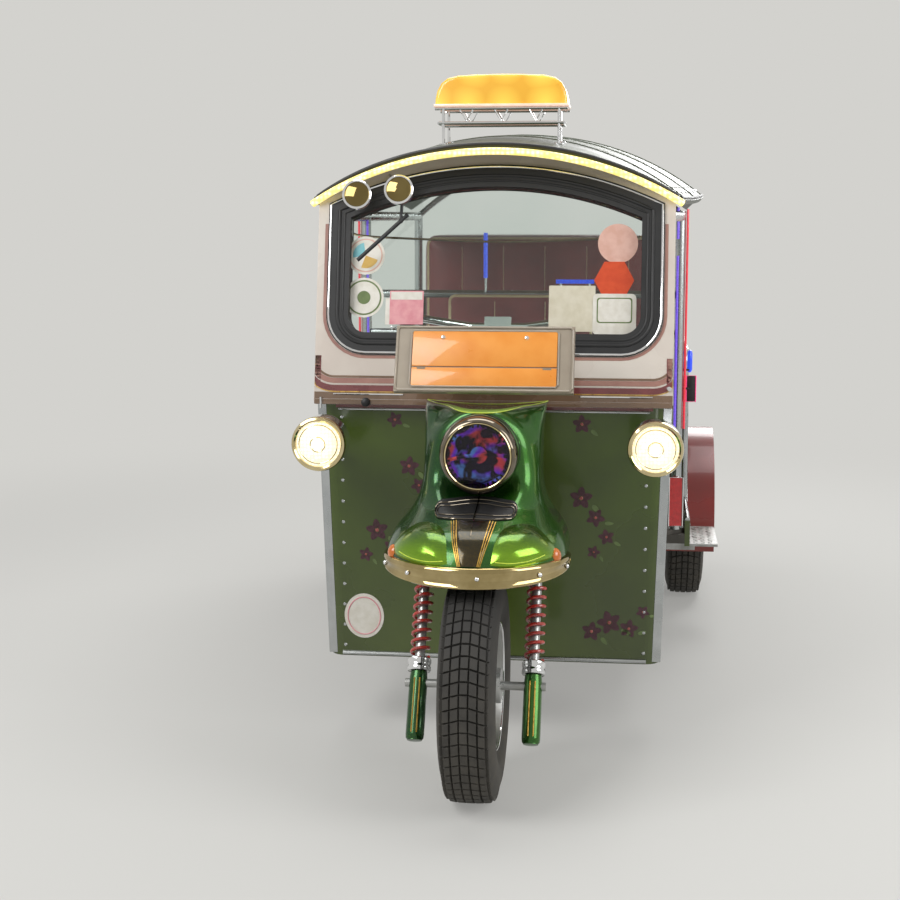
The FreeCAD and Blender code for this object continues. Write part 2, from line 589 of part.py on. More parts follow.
def rim_body(name, x, y, hub_width, bore):
    """Pressed rim, disc and hub on one axis."""
    body = turned_body(name, [
        ("-rim_width / 2", "rim_radius - 12"), ("-rim_width / 2", "rim_radius"),
        ("rim_width / 2", "rim_radius"), ("rim_width / 2", "rim_radius - 12"),
        ("disc_thickness", "rim_radius - 30"), ("disc_thickness + 8", "hub_radius"),
        (hub_width + " / 2", "hub_radius - 6"), (hub_width + " / 2", bore),
        ("-(" + hub_width + ") / 2", bore), ("-(" + hub_width + ") / 2", "hub_radius - 6"),
        ("-disc_thickness", "hub_radius"), ("-disc_thickness", "rim_radius - 30")])
    doc.recompute()
    holes = []
    count = int(size("vent_count"))
    for i in range(count):
        angle = 180 / count + 360 * i / count
        holes.append(rod("%s_hole_%d" % (name, i), "x", "-hub_radius", "vent_circle / 2 * cos(%.3f)" % angle,
                         "vent_circle / 2 * sin(%.3f)" % angle, "vent_hole / 2", "2 * hub_radius"))
    cut = less(name + "_vented", body, joined(name + "_holes", holes))
    bind(cut, Base_x=x, Base_y=y, Base_z="tyre_radius")
    return cut


for side, x, y, hub, bore in (
        ("front", "0", "front_axle_y", "front_hub_width", "front_pin_radius + shaft_clearance"),
        ("rear_left", "wheel_x", "rear_axle_y", "rear_hub_width", "stub_radius + shaft_clearance"),
        ("rear_right", "-wheel_x", "rear_axle_y", "rear_hub_width", "stub_radius + shaft_clearance")):
    keep(tyre_body(side + "_rubber", x, y), side + "_tyre")
    keep(rim_body(side + "_wheel", x, y, hub, bore), side + "_rim")

# Rear axle: tube, differential bowl, flanges and stubs.
axle_parts = [
    rod("axle_tube", "x", "-(wheel_x - rear_hub_width / 2 - moving_gap)", "rear_axle_y", "tyre_radius",
        "axle_radius", "2 * (wheel_x - rear_hub_width / 2 - moving_gap)"),
    rod("axle_stubs", "x", "-(wheel_x + rear_hub_width / 2 + 8)", "rear_axle_y", "tyre_radius",
        "stub_radius", "2 * (wheel_x + rear_hub_width / 2 + 8)")]
bowl = doc.addObject("Part::Sphere", "diff_bowl")
bind(bowl, Radius="diff_radius", Base_x="diff_offset", Base_y="rear_axle_y", Base_z="tyre_radius")
nose = doc.addObject("Part::Cone", "diff_nose")
nose.Placement = Placement(Vector(), Rotation(ALONG_X, 90))
bind(nose, Radius1="diff_radius - 20", Radius2="shaft_radius + 18", Height="diff_radius + 70",
     Base_x="diff_offset", Base_y="rear_axle_y", Base_z="tyre_radius")
keep(joined("axle", axle_parts + [bowl, nose]), "rear_axle")

# Propeller shaft from the engine to the differential, with its joints.
shaft_start = point("0", "engine_y + engine_length", "output_height")
shaft_end = point("diff_offset", "rear_axle_y - diff_radius - 70", "tyre_radius")
along = (shaft_end - shaft_start).normalize()
shaft_parts = [bar_between(shaft_start, shaft_end, size("shaft_radius")),
               bar_between(shaft_start - along * 10, shaft_start + along * 45, size("shaft_radius + 10")),
               bar_between(shaft_end - along * 55, shaft_end + along * 10, size("shaft_radius + 10"))]
shaft_room = Part.makeBox(400, shaft_end.y - shaft_start.y - 2 * gap, 400,
                          Vector(-200, shaft_start.y + gap, 100))
keep(solid_feature("shaft", shaft_parts[0].fuse(shaft_parts[1:]).common(shaft_room)), "prop_shaft")


# Leaf springs: arched packs on the axle, with hangers to the rails.
def leaf_pack(x):
    parts = []
    thickness = size("leaf_thickness")
    seat = size("tyre_radius + axle_radius")
    for i in range(int(size("leaf_count"))):
        half = size("leaf_half") * (1 - 0.2 * (size("leaf_count") - 1 - i))
        rise = size("leaf_rise") * (half / size("leaf_half")) ** 2
        low = seat + thickness * i
        y = size("rear_axle_y")

        def arc(z):
            return Part.Arc(Vector(x, y - half, z + rise), Vector(x, y, z), Vector(x, y + half, z + rise))

        lower, upper = arc(low), arc(low + thickness)
        wire = Part.Wire([lower.toShape(), Part.LineSegment(lower.EndPoint, upper.EndPoint).toShape(),
                          upper.toShape(), Part.LineSegment(upper.StartPoint, lower.StartPoint).toShape()])
        parts.append(Part.Face(wire).extrude(Vector(size("leaf_width"), 0, 0)))
    pack = parts[0].fuse(parts[1:])
    top = seat + thickness * size("leaf_count") + size("leaf_rise")
    rail_face = size("rail_low + kick_up")
    for sign in (-1, 1):
        end = size("rear_axle_y") + sign * (size("leaf_half") - 10)
        pack = pack.fuse([Part.makeBox(size("leaf_width"), 20, rail_face - top + 20,
                                       Vector(x, end - 10, top - 20))])
    return pack


leaf_packs = [leaf_pack(size("rail_spacing / 2 - leaf_width / 2")),
              leaf_pack(size("-rail_spacing / 2 - leaf_width / 2"))]
keep(solid_feature("springs", Part.makeCompound(leaf_packs)), "leaf_springs")

# Exhaust: pipe from the engine, silencer under the floor, tail pipe.
port = ("-engine_width / 2 + 40", "engine_y + engine_length - 110")
exhaust_z = "engine_low - silencer_radius - 2"
pipe = tube_run([point(port[0], port[1], "engine_low - fit_gap"), point(port[0], port[1], exhaust_z),
                 point(port[0], "tub_y + 60", exhaust_z)], size("pipe_radius"), size("pipe_bend"))
silencer = Part.makeCylinder(size("silencer_radius"), size("silencer_length"),
                             point(port[0], "tub_y + 60", exhaust_z), BACKWARD)
keep(solid_feature("exhaust_run", pipe.fuse(silencer)), "exhaust")

# Gas tank between the rails, behind the axle, with coned ends.
tank_half = "(rail_spacing / 2 - rail_width / 2 - fit_gap)"
tank = turned_body("tank_shell", [
    ("-" + tank_half, "0"), ("-" + tank_half, "tank_radius - tank_cone"),
    ("-" + tank_half + " + tank_cone", "tank_radius"), (tank_half + " - tank_cone", "tank_radius"),
    (tank_half, "tank_radius - tank_cone"), (tank_half, "0")])
bind(tank, Base_y="rear_axle_y + tank_behind", Base_z="raised_rail - rail_height / 2")
keep(tank, "gas_tank")


# Passenger tub: side panels with wheel arches, rear wall, seat box and fenders.
def arch_disc(name, radius, x, length):
    return rod(name, "x", x, "rear_axle_y", "tyre_radius", radius, length)


tub_sides = []
for side, sign in (("left", 1), ("right", -1)):
    sheet_body = padded_body("tub_sheet_" + side, "YZ_Plane", [
        ("tub_y", "tub_low"), ("back_wall_y - fit_gap", "tub_low"), ("back_wall_y - fit_gap", "tub_high"),
        ("seat_y + 60", "tub_high"), ("seat_y - 20", "tub_front_high"), ("seat_y - 60", "sill_high"),
        ("tub_y", "sill_high")], "tub_wall", "%d * (tub_half - tub_wall / 2)" % sign)
    opening = arch_disc("arch_cut_" + side, "arch_radius + fit_gap + arch_wall",
                        "%d * tub_half - 60" % sign, "120")
    tub_sides.append(less("tub_side_" + side, sheet_body, opening))
keep(joined("tub_side_pair", tub_sides), "side_panels")
rear_sheet = centred_box("rear_sheet", "tub_half", "back_wall_y", "tub_low + 60", "tub_wall",
                         "rear_wall_high - tub_low - 60")
keep(rear_sheet, "rear_panel")

fender_ring = doc.addObject("PartDesign::Body", "fender_ring")
ring_sketch = sketch_on(fender_ring, "XY_Plane", "fender_section", [
    ("arch_inner", "arch_radius"), ("arch_outer", "arch_radius"), ("arch_outer", "arch_radius - arch_lip"),
    ("arch_outer + arch_wall", "arch_radius - arch_lip"), ("arch_outer + arch_wall", "arch_radius + arch_wall"),
    ("arch_inner", "arch_radius + arch_wall")])
ring_turn = fender_ring.newObject("PartDesign::Revolution", "fender_turn")
ring_turn.Profile = ring_sketch
ring_turn.ReferenceAxis = (ring_sketch, ["H_Axis"])
ring_turn.Angle = 200
fender_ring.Placement = Placement(Vector(), Rotation(ALONG_X, -10))
bind(fender_ring, Base_y="rear_axle_y", Base_z="tyre_radius")
wall_disc = arch_disc("wheel_house", "arch_radius + arch_wall", "arch_inner - arch_wall", "arch_wall")
wall_low = box("house_trim", "arch_inner - 60", "rear_axle_y - 400", "tyre_radius - 400", "120", "800",
               "raised_rail - rail_height - tyre_radius + 400")
house = less("wheel_house_wall", wall_disc, wall_low)
left_fender = joined("fender_left", [fender_ring, house])
keep(both_sides("fenders", left_fender), "rear_fenders")

seat_shell = centred_box("seat_shell", "seat_half", "seat_y", "floor_top", "back_wall_y - fit_gap - seat_y",
                         "seat_high - floor_top")
seat_hollow = centred_box("seat_hollow", "seat_half - board", "seat_y + board", "floor_top - 1",
                          "back_wall_y - seat_y", "seat_high - floor_top - board + 1")
keep(less("seat_case", seat_shell, seat_hollow), "seat_box")

# Soft parts: plain closed blocks.
seat_back_y = "(back_wall_y - back_deep)"
soft_rows = [
    ("passenger_cushion", "-tub_half + 30", "seat_y - 10", "seat_high + fit_gap",
     "tub_half - 30", seat_back_y + " - fit_gap", "seat_top", 40),
    ("passenger_backrest", "-tub_half + 54", seat_back_y, "seat_high + 60",
     "tub_half - 54", "back_wall_y - fit_gap", "back_high", 40),
    ("driver_cushion", "-driver_seat_half", "panel_y + cover_front + 20", "cover_high + fit_gap",
     "driver_seat_half", "panel_y + cover_front + 20 + driver_seat_deep", "cover_high + driver_seat_high", 30),
    ("driver_backrest", "-driver_seat_half", "tub_y - 72", "cover_high + 130",
     "driver_seat_half", "tub_y - 12 - fit_gap", "cover_high + 430", 22),
]
for name, x0, y0, z0, x1, y1, z1, edge in soft_rows:
    keep(solid_feature(name + "_form", soft_block(point(x0, y0, z0), point(x1, y1, z1), edge)), name)

# Partition behind the driver: rails between the posts, which carry the backrest.
partition = []
for index, z in enumerate(("cover_high + 150", "cover_high + 300", "partition_high")):
    partition.append(rod("partition_rail_%d" % index, "x", "-(post_half - post_radius - fit_gap)", "tub_y", z,
                         "12", "2 * (post_half - post_radius - fit_gap)"))
uprights = []
for index, x in enumerate(("-200", "200")):
    uprights.append(rod("partition_upright_%d" % index, "z", x, "tub_y", "floor_top", "side_rail_radius",
                        "partition_high - floor_top"))
partition_shape = joined("partition", partition + uprights)
doc.recompute()

# Chrome side rails over the tub.
rail_x = "tub_half - tub_wall / 2"
side_rail = tube_run([point(rail_x, "seat_y + 100", "tub_high + fit_gap"),
                      point(rail_x, "seat_y + 100", "tub_high + 100"),
                      point(rail_x, "back_wall_y - 90", "tub_high + 100"),
                      point(rail_x, "back_wall_y - 90", "tub_high + fit_gap")],
                     size("side_rail_radius"), size("side_rail_bend"))
keep(solid_feature("passenger_rail_set", Part.makeCompound(
    [partition_shape.Shape, side_rail, side_rail.mirror(Vector(), ALONG_X)])), "passenger_rails")

# Steps below the passenger entrance, on brackets from the tub.
step = box("step_plate", "tub_half - 60", "tub_y + 70", "step_high - step_thickness",
           "step_width", "step_length", "step_thickness")
bracket_list = [step]
for index, y in enumerate(("tub_y + 110", "tub_y + step_length + 20")):
    bracket_list.append(box("step_bracket_%d" % index, "rail_spacing / 2 + rail_width / 2", y,
                            "step_high - step_thickness - bracket_depth", "tub_half - rail_spacing / 2",
                            "bracket_width", "bracket_depth"))
step_left = together("step_left", bracket_list)
keep(together("step_pair", [step_left, mirrored("step_left_twin", step_left)]), "side_steps")

# Steering head: tube on the raked axis, webs through the panel slot, column to the first cross member.
head_base = point("0", "panel_y", "head_height")
rake_place = Placement(head_base, Rotation(ALONG_X, -size("rake")))


def raked(shape):
    shape.Placement = rake_place.multiply(shape.Placement)
    return shape


head_tube = Part.makeCylinder(size("head_tube_radius"), size("head_tube_low - head_tube_high"),
                              Vector(0, 0, -size("head_tube_low")))
gusset = Part.makeBox(size("gusset_width"), 190, size("head_tube_low - head_tube_high - 40"),
                      Vector(size("-gusset_width / 2"), 0, -size("head_tube_low - 20")))
column = Part.makeBox(size("column_width"), 40, size("head_height - 60 - floor_top"),
                      point("-column_width / 2", "panel_y + 50", "floor_top"))
bore = raked(Part.makeCylinder(size("stem_radius + shaft_clearance"), 600, Vector(0, 0, -400)))
head_shape = raked(head_tube.fuse(gusset)).fuse(column)
trim = Part.makeBox(400, 400, size("head_height + 100"), point("-200", "panel_y + 90", "floor_top - 85"))
head_shape = head_shape.cut(trim).cut(bore)
keep(solid_feature("head", head_shape), "steering_head")

# Fork: stem, crown, legs, axle pin and the stays that hold the nose.
offset = size("fork_offset")
drop = size("axle_drop")
leg_x = size("leg_spacing") / 2
crown_low = -size("crown_drop")
crown_high = crown_low + size("crown_thickness")
fork_parts = [
    Part.makeCylinder(size("stem_radius"), size("bar_height") - crown_low, Vector(0, 0, crown_low)),
    Part.makeBox(2 * leg_x + 50, offset + 60, size("crown_thickness"),
                 Vector(-leg_x - 25, -offset - 30, crown_low)),
    Part.makeCylinder(size("front_pin_radius"), 2 * leg_x + 60, Vector(-leg_x - 30, -offset, -drop), ALONG_X),
]
for sign in (-1, 1):
    foot = -drop - size("leg_drop")
    x = sign * leg_x
    fork_parts += [
        Part.makeCylinder(size("inner_leg_radius"), crown_high - foot, Vector(x, -offset, foot)),
        Part.makeCylinder(size("leg_radius"), size("leg_drop + spring_seat - 4"), Vector(x, -offset, foot)),
        Part.makeCylinder(size("collar_radius"), size("collar_height"),
                          Vector(x, -offset, -drop + size("spring_seat - collar_height"))),
        Part.makeCylinder(size("collar_radius"), 12, Vector(x, -offset, -drop + size("spring_seat + spring_length"))),
        Part.makeBox(size("stay_width"), 62, 10,
                     Vector(x + sign * 15 - size("stay_width / 2"), -offset - 90, crown_high - 10)),
    ]


# Nose: one flowing mask from the lamp housing down to the mudguard.
# Sections: height over the mask's base, half width, then front, side and rear reach ahead of the panel.
NOSE_ROWS = [(0, 204, 582, 385, 250), (35, 199, 566, 374, 244), (65, 190, 536, 354, 235),
             (90, 166, 476, 324, 220), (115, 148, 420, 300, 205), (155, 137, 372, 284, 170),
             (205, 134, 346, 268, 150), (265, 137, 326, 240, 150), (308, 141, 268, 196, 150),
             (325, 143, 205, 175, 150)]


def nose_section(row, inset, shift):
    rise, half, front, side, rear = row
    y0 = size("panel_y")
    z = size("mask_base") + rise + shift
    left, right = Vector(-half + inset, y0 - side, z), Vector(half - inset, y0 - side, z)
    back = Vector(0, side - rear + (40 if inset else 0), 0)
    return Part.Wire([Part.Arc(left, Vector(0, y0 - front + inset, z), right).toShape(),
                      Part.LineSegment(right, right + back).toShape(),
                      Part.LineSegment(right + back, left + back).toShape(),
                      Part.LineSegment(left + back, left).toShape()])


def nose_solid(inset):
    """The nose's outer form, or the room inside its wall, which is open below and behind."""
    shifts = [0] * len(NOSE_ROWS)
    if inset:
        shifts[0] = -1
        shifts[-1] = -inset
    return Part.makeLoft([nose_section(r, inset, s) for r, s in zip(NOSE_ROWS, shifts)], True, True)


nose_outer = nose_solid(0)
nose_inner = nose_solid(size("mask_wall"))
lamp_centre = point("0", "panel_y - headlight_reach", "headlight_height")
bucket = Part.makeCylinder(size("headlight_radius"), size("headlight_depth"),
                           lamp_centre + Vector(0, 4, 0), BACKWARD)
bucket_bore = Part.makeCylinder(size("headlight_radius - mask_wall"), size("headlight_depth"),
                                lamp_centre + Vector(0, -6, 0), BACKWARD)
mask_shape = nose_outer.cut(nose_inner).fuse(bucket).cut(bucket_bore)
rim_room = Part.makeCylinder(size("headlight_radius + 3 + fit_gap"), 80,
                             lamp_centre + Vector(0, -76 + 4 - gap, 0), BACKWARD)
mask_shape = mask_shape.cut(rim_room)
behind = Part.makeBox(600, 200, 500, point("-300", "panel_y - 150", "mask_base - 75"))
keep(solid_feature("nose", mask_shape.cut(behind)), "nose_mask")

fork_shape = raked(fork_parts[0].fuse(fork_parts[1:]))
stay_room = nose_solid(size("mask_wall + fit_gap"))
fork_shape = fork_shape.cut(nose_outer.cut(stay_room))
fork_pieces = sorted(fork_shape.Solids, key=lambda s: s.Volume)
keep(solid_feature("fork_parts", fork_pieces[-1]), "fork")


def coil(x):
    """One coil spring round a leg: square wire in short straight runs."""
    radius, wire = size("spring_radius"), size("spring_wire")
    length = size("spring_length - 2 * spring_wire - 1")
    runs = int(size("coil_runs") * length / size("spring_pitch"))
    sections = []
    for i in range(runs + 1):
        turn = Rotation(UPWARD, 360 * i / size("coil_runs"))
        rise = -drop + size("spring_seat") + wire + 0.5 + length * i / runs
        middle = turn.multVec(Vector(radius, 0, 0)) + Vector(x, -offset, rise)
        out, up = turn.multVec(Vector(wire, 0, 0)), Vector(0, 0, wire)
        sections.append(Part.makePolygon([middle + out, middle + up, middle - out, middle - up, middle + out]))
    return Part.makeLoft(sections, True, True)


keep(solid_feature("coils", raked(Part.makeCompound([coil(-leg_x), coil(leg_x)]))), "fork_springs")

# Headlight: rim ring and lens.
rim_ring = Part.makeCylinder(size("headlight_radius + 3"), 22, lamp_centre + Vector(0, -18, 0), BACKWARD).cut(
    Part.makeCylinder(size("lens_radius + fit_gap"), 40, lamp_centre + Vector(0, -25, 0), BACKWARD))
keep(solid_feature("lamp_rim", rim_ring), "headlight_rim")
lens_sag = size("lens_bulge")
ball = (size("lens_radius") ** 2 + lens_sag ** 2) / (2 * lens_sag)
lens = Part.makeSphere(ball, lamp_centre + Vector(0, -16 + ball - lens_sag, 0)).common(
    Part.makeCylinder(size("lens_radius"), 40, lamp_centre + Vector(0, -38, 0), BACKWARD))
keep(solid_feature("lamp_lens", lens), "headlight_lens")


# Chrome lip round the mudguard's edge, deep in front and thin at its tips.
def lip_wire(inset, z):
    rise, half, front, side, rear = NOSE_ROWS[0]
    y0 = size("panel_y")
    left, right = Vector(-half + inset, y0 - side, z), Vector(half - inset, y0 - side, z)
    return Part.Wire([Part.Arc(left, Vector(0, y0 - front + inset, z), right).toShape(),
                      Part.LineSegment(right, Vector(right.x, y0 - rear, z)).toShape(),
                      Part.LineSegment(Vector(right.x, y0 - rear, z), Vector(left.x, y0 - rear, z)).toShape(),
                      Part.LineSegment(Vector(left.x, y0 - rear, z), left).toShape()])


lip_low = size("mask_base - lip_height")
lip = Part.Face(lip_wire(-size("lip_width"), lip_low)).extrude(Vector(0, 0, size("lip_height - fit_gap"))).cut(
    Part.Face(lip_wire(size("mask_wall"), lip_low - 1)).extrude(Vector(0, 0, 80)))
wedge = Part.makeBox(700, 700, 200, Vector(-350, 0, -200))
wedge.Placement = Placement(point("0", "panel_y - 600", "mask_base - lip_height"), Rotation(ALONG_X, 8))
lip = lip.cut(wedge).cut(Part.makeBox(700, 400, 300, point("-350", "panel_y - 350", "mask_base - 175")))
lip_solid = max(lip.Solids, key=lambda s: s.Volume)

# Oval vent below the lamp, with a divider in its middle.
vent_z = size("vent_height")
vent_rise = size("vent_rise")
vent_rim = size("vent_rim")
vent_front = size("panel_y - 470")
vent_back = size("panel_y - 392")
vent_ring = rounded_slab(size("vent_half"), vent_z - vent_rise, vent_z + vent_rise, vent_rise - 1,
                         vent_front, vent_back)
vent_ring = vent_ring.cut(rounded_slab(size("vent_half") - vent_rim, vent_z - vent_rise + vent_rim - 1,
                                       vent_z + vent_rise - vent_rim + 1, vent_rise - vent_rim, vent_front - 10,
                                       vent_back - 18))
vent_ring = vent_ring.fuse(Part.makeBox(10, 60, 30, Vector(-5, vent_front + 4, vent_z - 15)))
vent_ring = vent_ring.cut(nose_outer)
vent_solid = max(vent_ring.Solids, key=lambda s: s.Volume)
keep(solid_feature("nose_bright_work", Part.makeCompound([lip_solid, vent_solid])), "nose_trim")

# Handlebar and grips.
bar_z = size("bar_height")
bar_half = size("bar_half")
bar_points = [Vector(-bar_half, size("bar_sweep"), 0), Vector(-bar_half + 40, 60, 20), Vector(-70, 0, 0),
              Vector(70, 0, 0), Vector(bar_half - 40, 60, 20), Vector(bar_half, size("bar_sweep"), 0)]
bar_place = Placement(head_base + rake_place.Rotation.multVec(Vector(0, 0, bar_z + 14)), Rotation())
bar_shape = tube_run([bar_place.multVec(p) for p in bar_points], size("bar_radius"), 30)
clamp = raked(Part.makeBox(70, 40, 34, Vector(-35, -20, bar_z)))
keep(solid_feature("bar", bar_shape.fuse(clamp)), "handlebar")
grips = []
for sign in (-1, 1):
    end = bar_place.multVec(Vector(sign * bar_half, size("bar_sweep"), 0))
    inner = bar_place.multVec(Vector(sign * (bar_half - 40), 60, 20))
    run = (end - inner).normalize()
    grip = bar_between(end - run * size("grip_length"), end + run * 6, size("grip_radius"))
    hole = bar_between(end - run * (size("grip_length") + 5), end, size("bar_radius"))
    grips.append(grip.cut(hole))
keep(solid_feature("grip_pair", Part.makeCompound(grips)), "grips")

# Side lamps on the front panel.
lamp_shells = []
for sign in (-1, 1):
    face = point("%d * lamp_x" % sign, "panel_y - lamp_reach", "lamp_height")
    shell = Part.makeCylinder(size("lamp_radius"), size("lamp_depth"), face, BACKWARD)
    cone = Part.makeCone(size("lamp_radius"), 26, 50, face + Vector(0, size("lamp_depth"), 0), BACKWARD)
    pocket = Part.makeCylinder(size("lamp_radius - lamp_wall"), 30, face + Vector(0, -1, 0), BACKWARD)
    arm = Part.makeCylinder(size("lamp_arm"), size("lamp_reach") + 20, face + Vector(0, 40, -30), BACKWARD)
    lamp_shells.append(shell.fuse([cone, arm]).cut(pocket).cut(panel_skin))
lamp_solids = [max(s.Solids, key=lambda v: v.Volume) for s in lamp_shells]
keep(solid_feature("side_lamp_pair", Part.makeCompound(lamp_solids)), "side_lamps")
lens_pair = []
for sign in (-1, 1):
    face = point("%d * lamp_x" % sign, "panel_y - lamp_reach", "lamp_height")
    lens_pair.append(Part.makeCylinder(size("lamp_radius - lamp_wall - fit_gap"), 24, face + Vector(0, 2, 0),
                                       BACKWARD))
keep(solid_feature("side_lens_pair", Part.makeCompound(lens_pair)), "side_lamp_lenses")

# Number plate frame, leaning forward at its foot, on two arms from the belt.
plate = Part.makeBox(size("2 * plate_half"), size("plate_thickness"), size("plate_height"),
                     Vector(-size("plate_half"), 0, 0))
plate.Placement = Placement(point("0", "panel_y - plate_reach", "plate_low"),
                            Rotation(ALONG_X, -size("plate_lean")))
arms = []
for sign in (-1, 1):
    arm_y = size("panel_y - plate_reach + 20")
    arms.append(Part.makeBox(20, 330, 12, Vector(sign * 150 - 10, arm_y, size("plate_low + 44"))))
holder = plate.fuse(arms)
tail = Part.makeBox(900, 600, 900, Vector(-450, -gap, -300))
tail.Placement = lean_turn
holder = holder.cut(tail)
keep(solid_feature("plate_holder", holder), "plate_frame")

# Bumper: a straight bar with round ends, on stubs from the rear wall.
bumper_half = size("tub_half - bumper_inset")
bumper_y = size("tail_y - bumper_radius")
bumper_z = size("tub_low + 100")
wall_y = size("back_wall_y + tub_wall")
bar_ends = [Vector(side * bumper_half, bumper_y, bumper_z) for side in (-1, 1)]
bumper = bar_between(bar_ends[0], bar_ends[1], size("bumper_radius"))
bumper = bumper.fuse([Part.makeSphere(size("bumper_radius"), end) for end in bar_ends])
for x in (-0.9 * bumper_half, -0.3 * bumper_half, 0.3 * bumper_half, 0.9 * bumper_half):
    stub = bar_between(Vector(x, wall_y, bumper_z), Vector(x, bumper_y, bumper_z), size("bumper_stub"))
    bumper = bumper.fuse(stub)
keep(solid_feature("bumper", bumper), "rear_bumper")

# Red lamps: two a side on the rear wall, and a tall marker ahead of each door post.
lamps = []
for sign in (-1, 1):
    for height in ("seat_high", "seat_high - 100"):
        face = point("%d * tail_lamp_x" % sign, "back_wall_y + tub_wall", height)
        lamps.append(Part.makeCylinder(size("tail_lamp_radius"), 24, face, BACKWARD))
    lamps.append(Part.makeBox(40, 14, size("marker_height"), point(
        "%d * post_half - 20" % sign, "tub_y - post_radius - 14 - fit_gap", "floor_top + 15")))
keep(solid_feature("red_lamp_set", Part.makeCompound(lamps)), "red_lamps")

doc.recompute()
failed = [o.Name for o in doc.Objects if "Invalid" in o.State or "Error" in o.State]
broken = [n.Label for n in nodes if n.Shape.isNull() or not n.Shape.isValid()]
if failed or broken:
    raise SystemExit("not built: %s %s" % (failed, broken))
os.makedirs("parts", exist_ok=True)
for item in nodes:
    item.Shape.exportStep("parts/%s.step" % item.Label)
print(len(nodes), "parts written")
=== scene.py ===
"""The looks of the auto rickshaw: paint, plating, trims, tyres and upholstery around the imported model."""
import math
import bmesh
import bpy
from mathutils import Matrix, Vector
from mathutils.bvhtree import BVHTree


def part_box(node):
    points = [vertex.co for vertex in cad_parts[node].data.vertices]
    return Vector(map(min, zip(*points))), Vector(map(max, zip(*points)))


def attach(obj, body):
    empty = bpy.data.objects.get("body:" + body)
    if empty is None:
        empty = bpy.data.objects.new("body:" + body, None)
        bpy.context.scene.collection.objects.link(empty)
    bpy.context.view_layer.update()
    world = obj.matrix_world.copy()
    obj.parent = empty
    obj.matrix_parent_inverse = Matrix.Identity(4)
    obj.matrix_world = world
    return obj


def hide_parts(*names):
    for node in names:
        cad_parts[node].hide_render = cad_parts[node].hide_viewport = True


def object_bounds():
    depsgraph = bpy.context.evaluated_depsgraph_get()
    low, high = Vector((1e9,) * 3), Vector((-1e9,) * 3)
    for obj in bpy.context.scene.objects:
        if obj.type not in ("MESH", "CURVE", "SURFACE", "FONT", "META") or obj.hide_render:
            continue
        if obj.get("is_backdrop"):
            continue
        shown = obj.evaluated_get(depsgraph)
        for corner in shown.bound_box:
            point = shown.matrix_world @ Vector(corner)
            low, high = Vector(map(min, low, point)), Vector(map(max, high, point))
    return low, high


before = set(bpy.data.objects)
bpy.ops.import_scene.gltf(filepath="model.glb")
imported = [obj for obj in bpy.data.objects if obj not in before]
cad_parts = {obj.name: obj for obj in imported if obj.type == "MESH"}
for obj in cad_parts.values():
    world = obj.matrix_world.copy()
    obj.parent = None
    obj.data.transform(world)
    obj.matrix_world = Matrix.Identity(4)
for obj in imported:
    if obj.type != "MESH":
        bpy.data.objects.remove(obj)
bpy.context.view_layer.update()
scene = bpy.context.scene
scene.view_settings.view_transform = "Standard"

MM = 0.001
X, Y, Z = Vector((1, 0, 0)), Vector((0, 1, 0)), Vector((0, 0, 1))

# Places of the main pieces, in metres, as in the solids.
PANEL_Y = -0.820
FRONT_AXLE = Vector((0, -1.240, 0.270))
REAR_AXLE = Vector((0.534, 0.960, 0.270))
LAMP = Vector((0, -1.182, 0.800))
STEERED = Matrix.Translation((0, PANEL_Y, 0.800)) @ Matrix.Rotation(math.radians(-30), 4, "X")
SCREEN_LEAN = math.radians(12)
SCREEN = Matrix.Translation((0, -0.870, 0.8783)) @ Matrix.Rotation(-SCREEN_LEAN, 4, "X")
PLATE = Matrix.Translation((0, -1.082, 0.936)) @ Matrix.Rotation(math.radians(-24), 4, "X")
SIDE_LAMP_X, SIDE_LAMP_Y, SIDE_LAMP_Z = 0.408, -1.026, 0.798
# Turns a Z axis towards the front.
FORWARD = Matrix.Rotation(math.pi / 2, 4, "X")


# Colour and shader nodes.
def linear(code):
    """The linear colour of an sRGB hex value."""
    channels = [int(code[i:i + 2], 16) / 255 for i in (1, 3, 5)]
    return tuple(c / 12.92 if c <= 0.04045 else ((c + 0.055) / 1.055) ** 2.4 for c in channels) + (1.0,)


def add(tree, kind, settings=None):
    """Adds a shader node; each setting fills or links an input, or else sets a property."""
    node = tree.nodes.new("ShaderNode" + kind)
    for key, value in (settings or {}).items():
        if isinstance(key, int) or key in node.inputs:
            if isinstance(value, bpy.types.NodeSocket):
                tree.links.new(value, node.inputs[key])
            else:
                node.inputs[key].default_value = value
        else:
            setattr(node, key, value)
    return node


def blank(name):
    """A new material with an empty tree."""
    material = bpy.data.materials.new(name)
    material.use_nodes = True
    material.node_tree.nodes.clear()
    return material, material.node_tree


def ramp(tree, value, low, high, to_low=0.0, to_high=1.0):
    """Maps a value from one range to another, held at both ends."""
    return add(tree, "MapRange", {"Value": value, "From Min": low, "From Max": high, "To Min": to_low,
                                  "To Max": to_high}).outputs["Result"]


def mix(tree, share, first, second):
    """The colour at a share of the way between two."""
    return add(tree, "Mix", {"data_type": "RGBA", 0: share, 6: first, 7: second}).outputs[2]


def noise(tree, place, scale, detail):
    """Soft noise between 0 and 1."""
    return add(tree, "TexNoise", {"Vector": place, "Scale": scale, "Detail": detail}).outputs["Fac"]


def multiply(tree, first, second):
    """The product of two values."""
    return add(tree, "Math", {"operation": "MULTIPLY", 0: first, 1: second}).outputs[0]


def finished(material, settings):
    """Ends a material's tree in one surface shader with the given inputs."""
    tree = material.node_tree
    add(tree, "OutputMaterial", {"Surface": add(tree, "BsdfPrincipled", settings).outputs["BSDF"]})
    return material


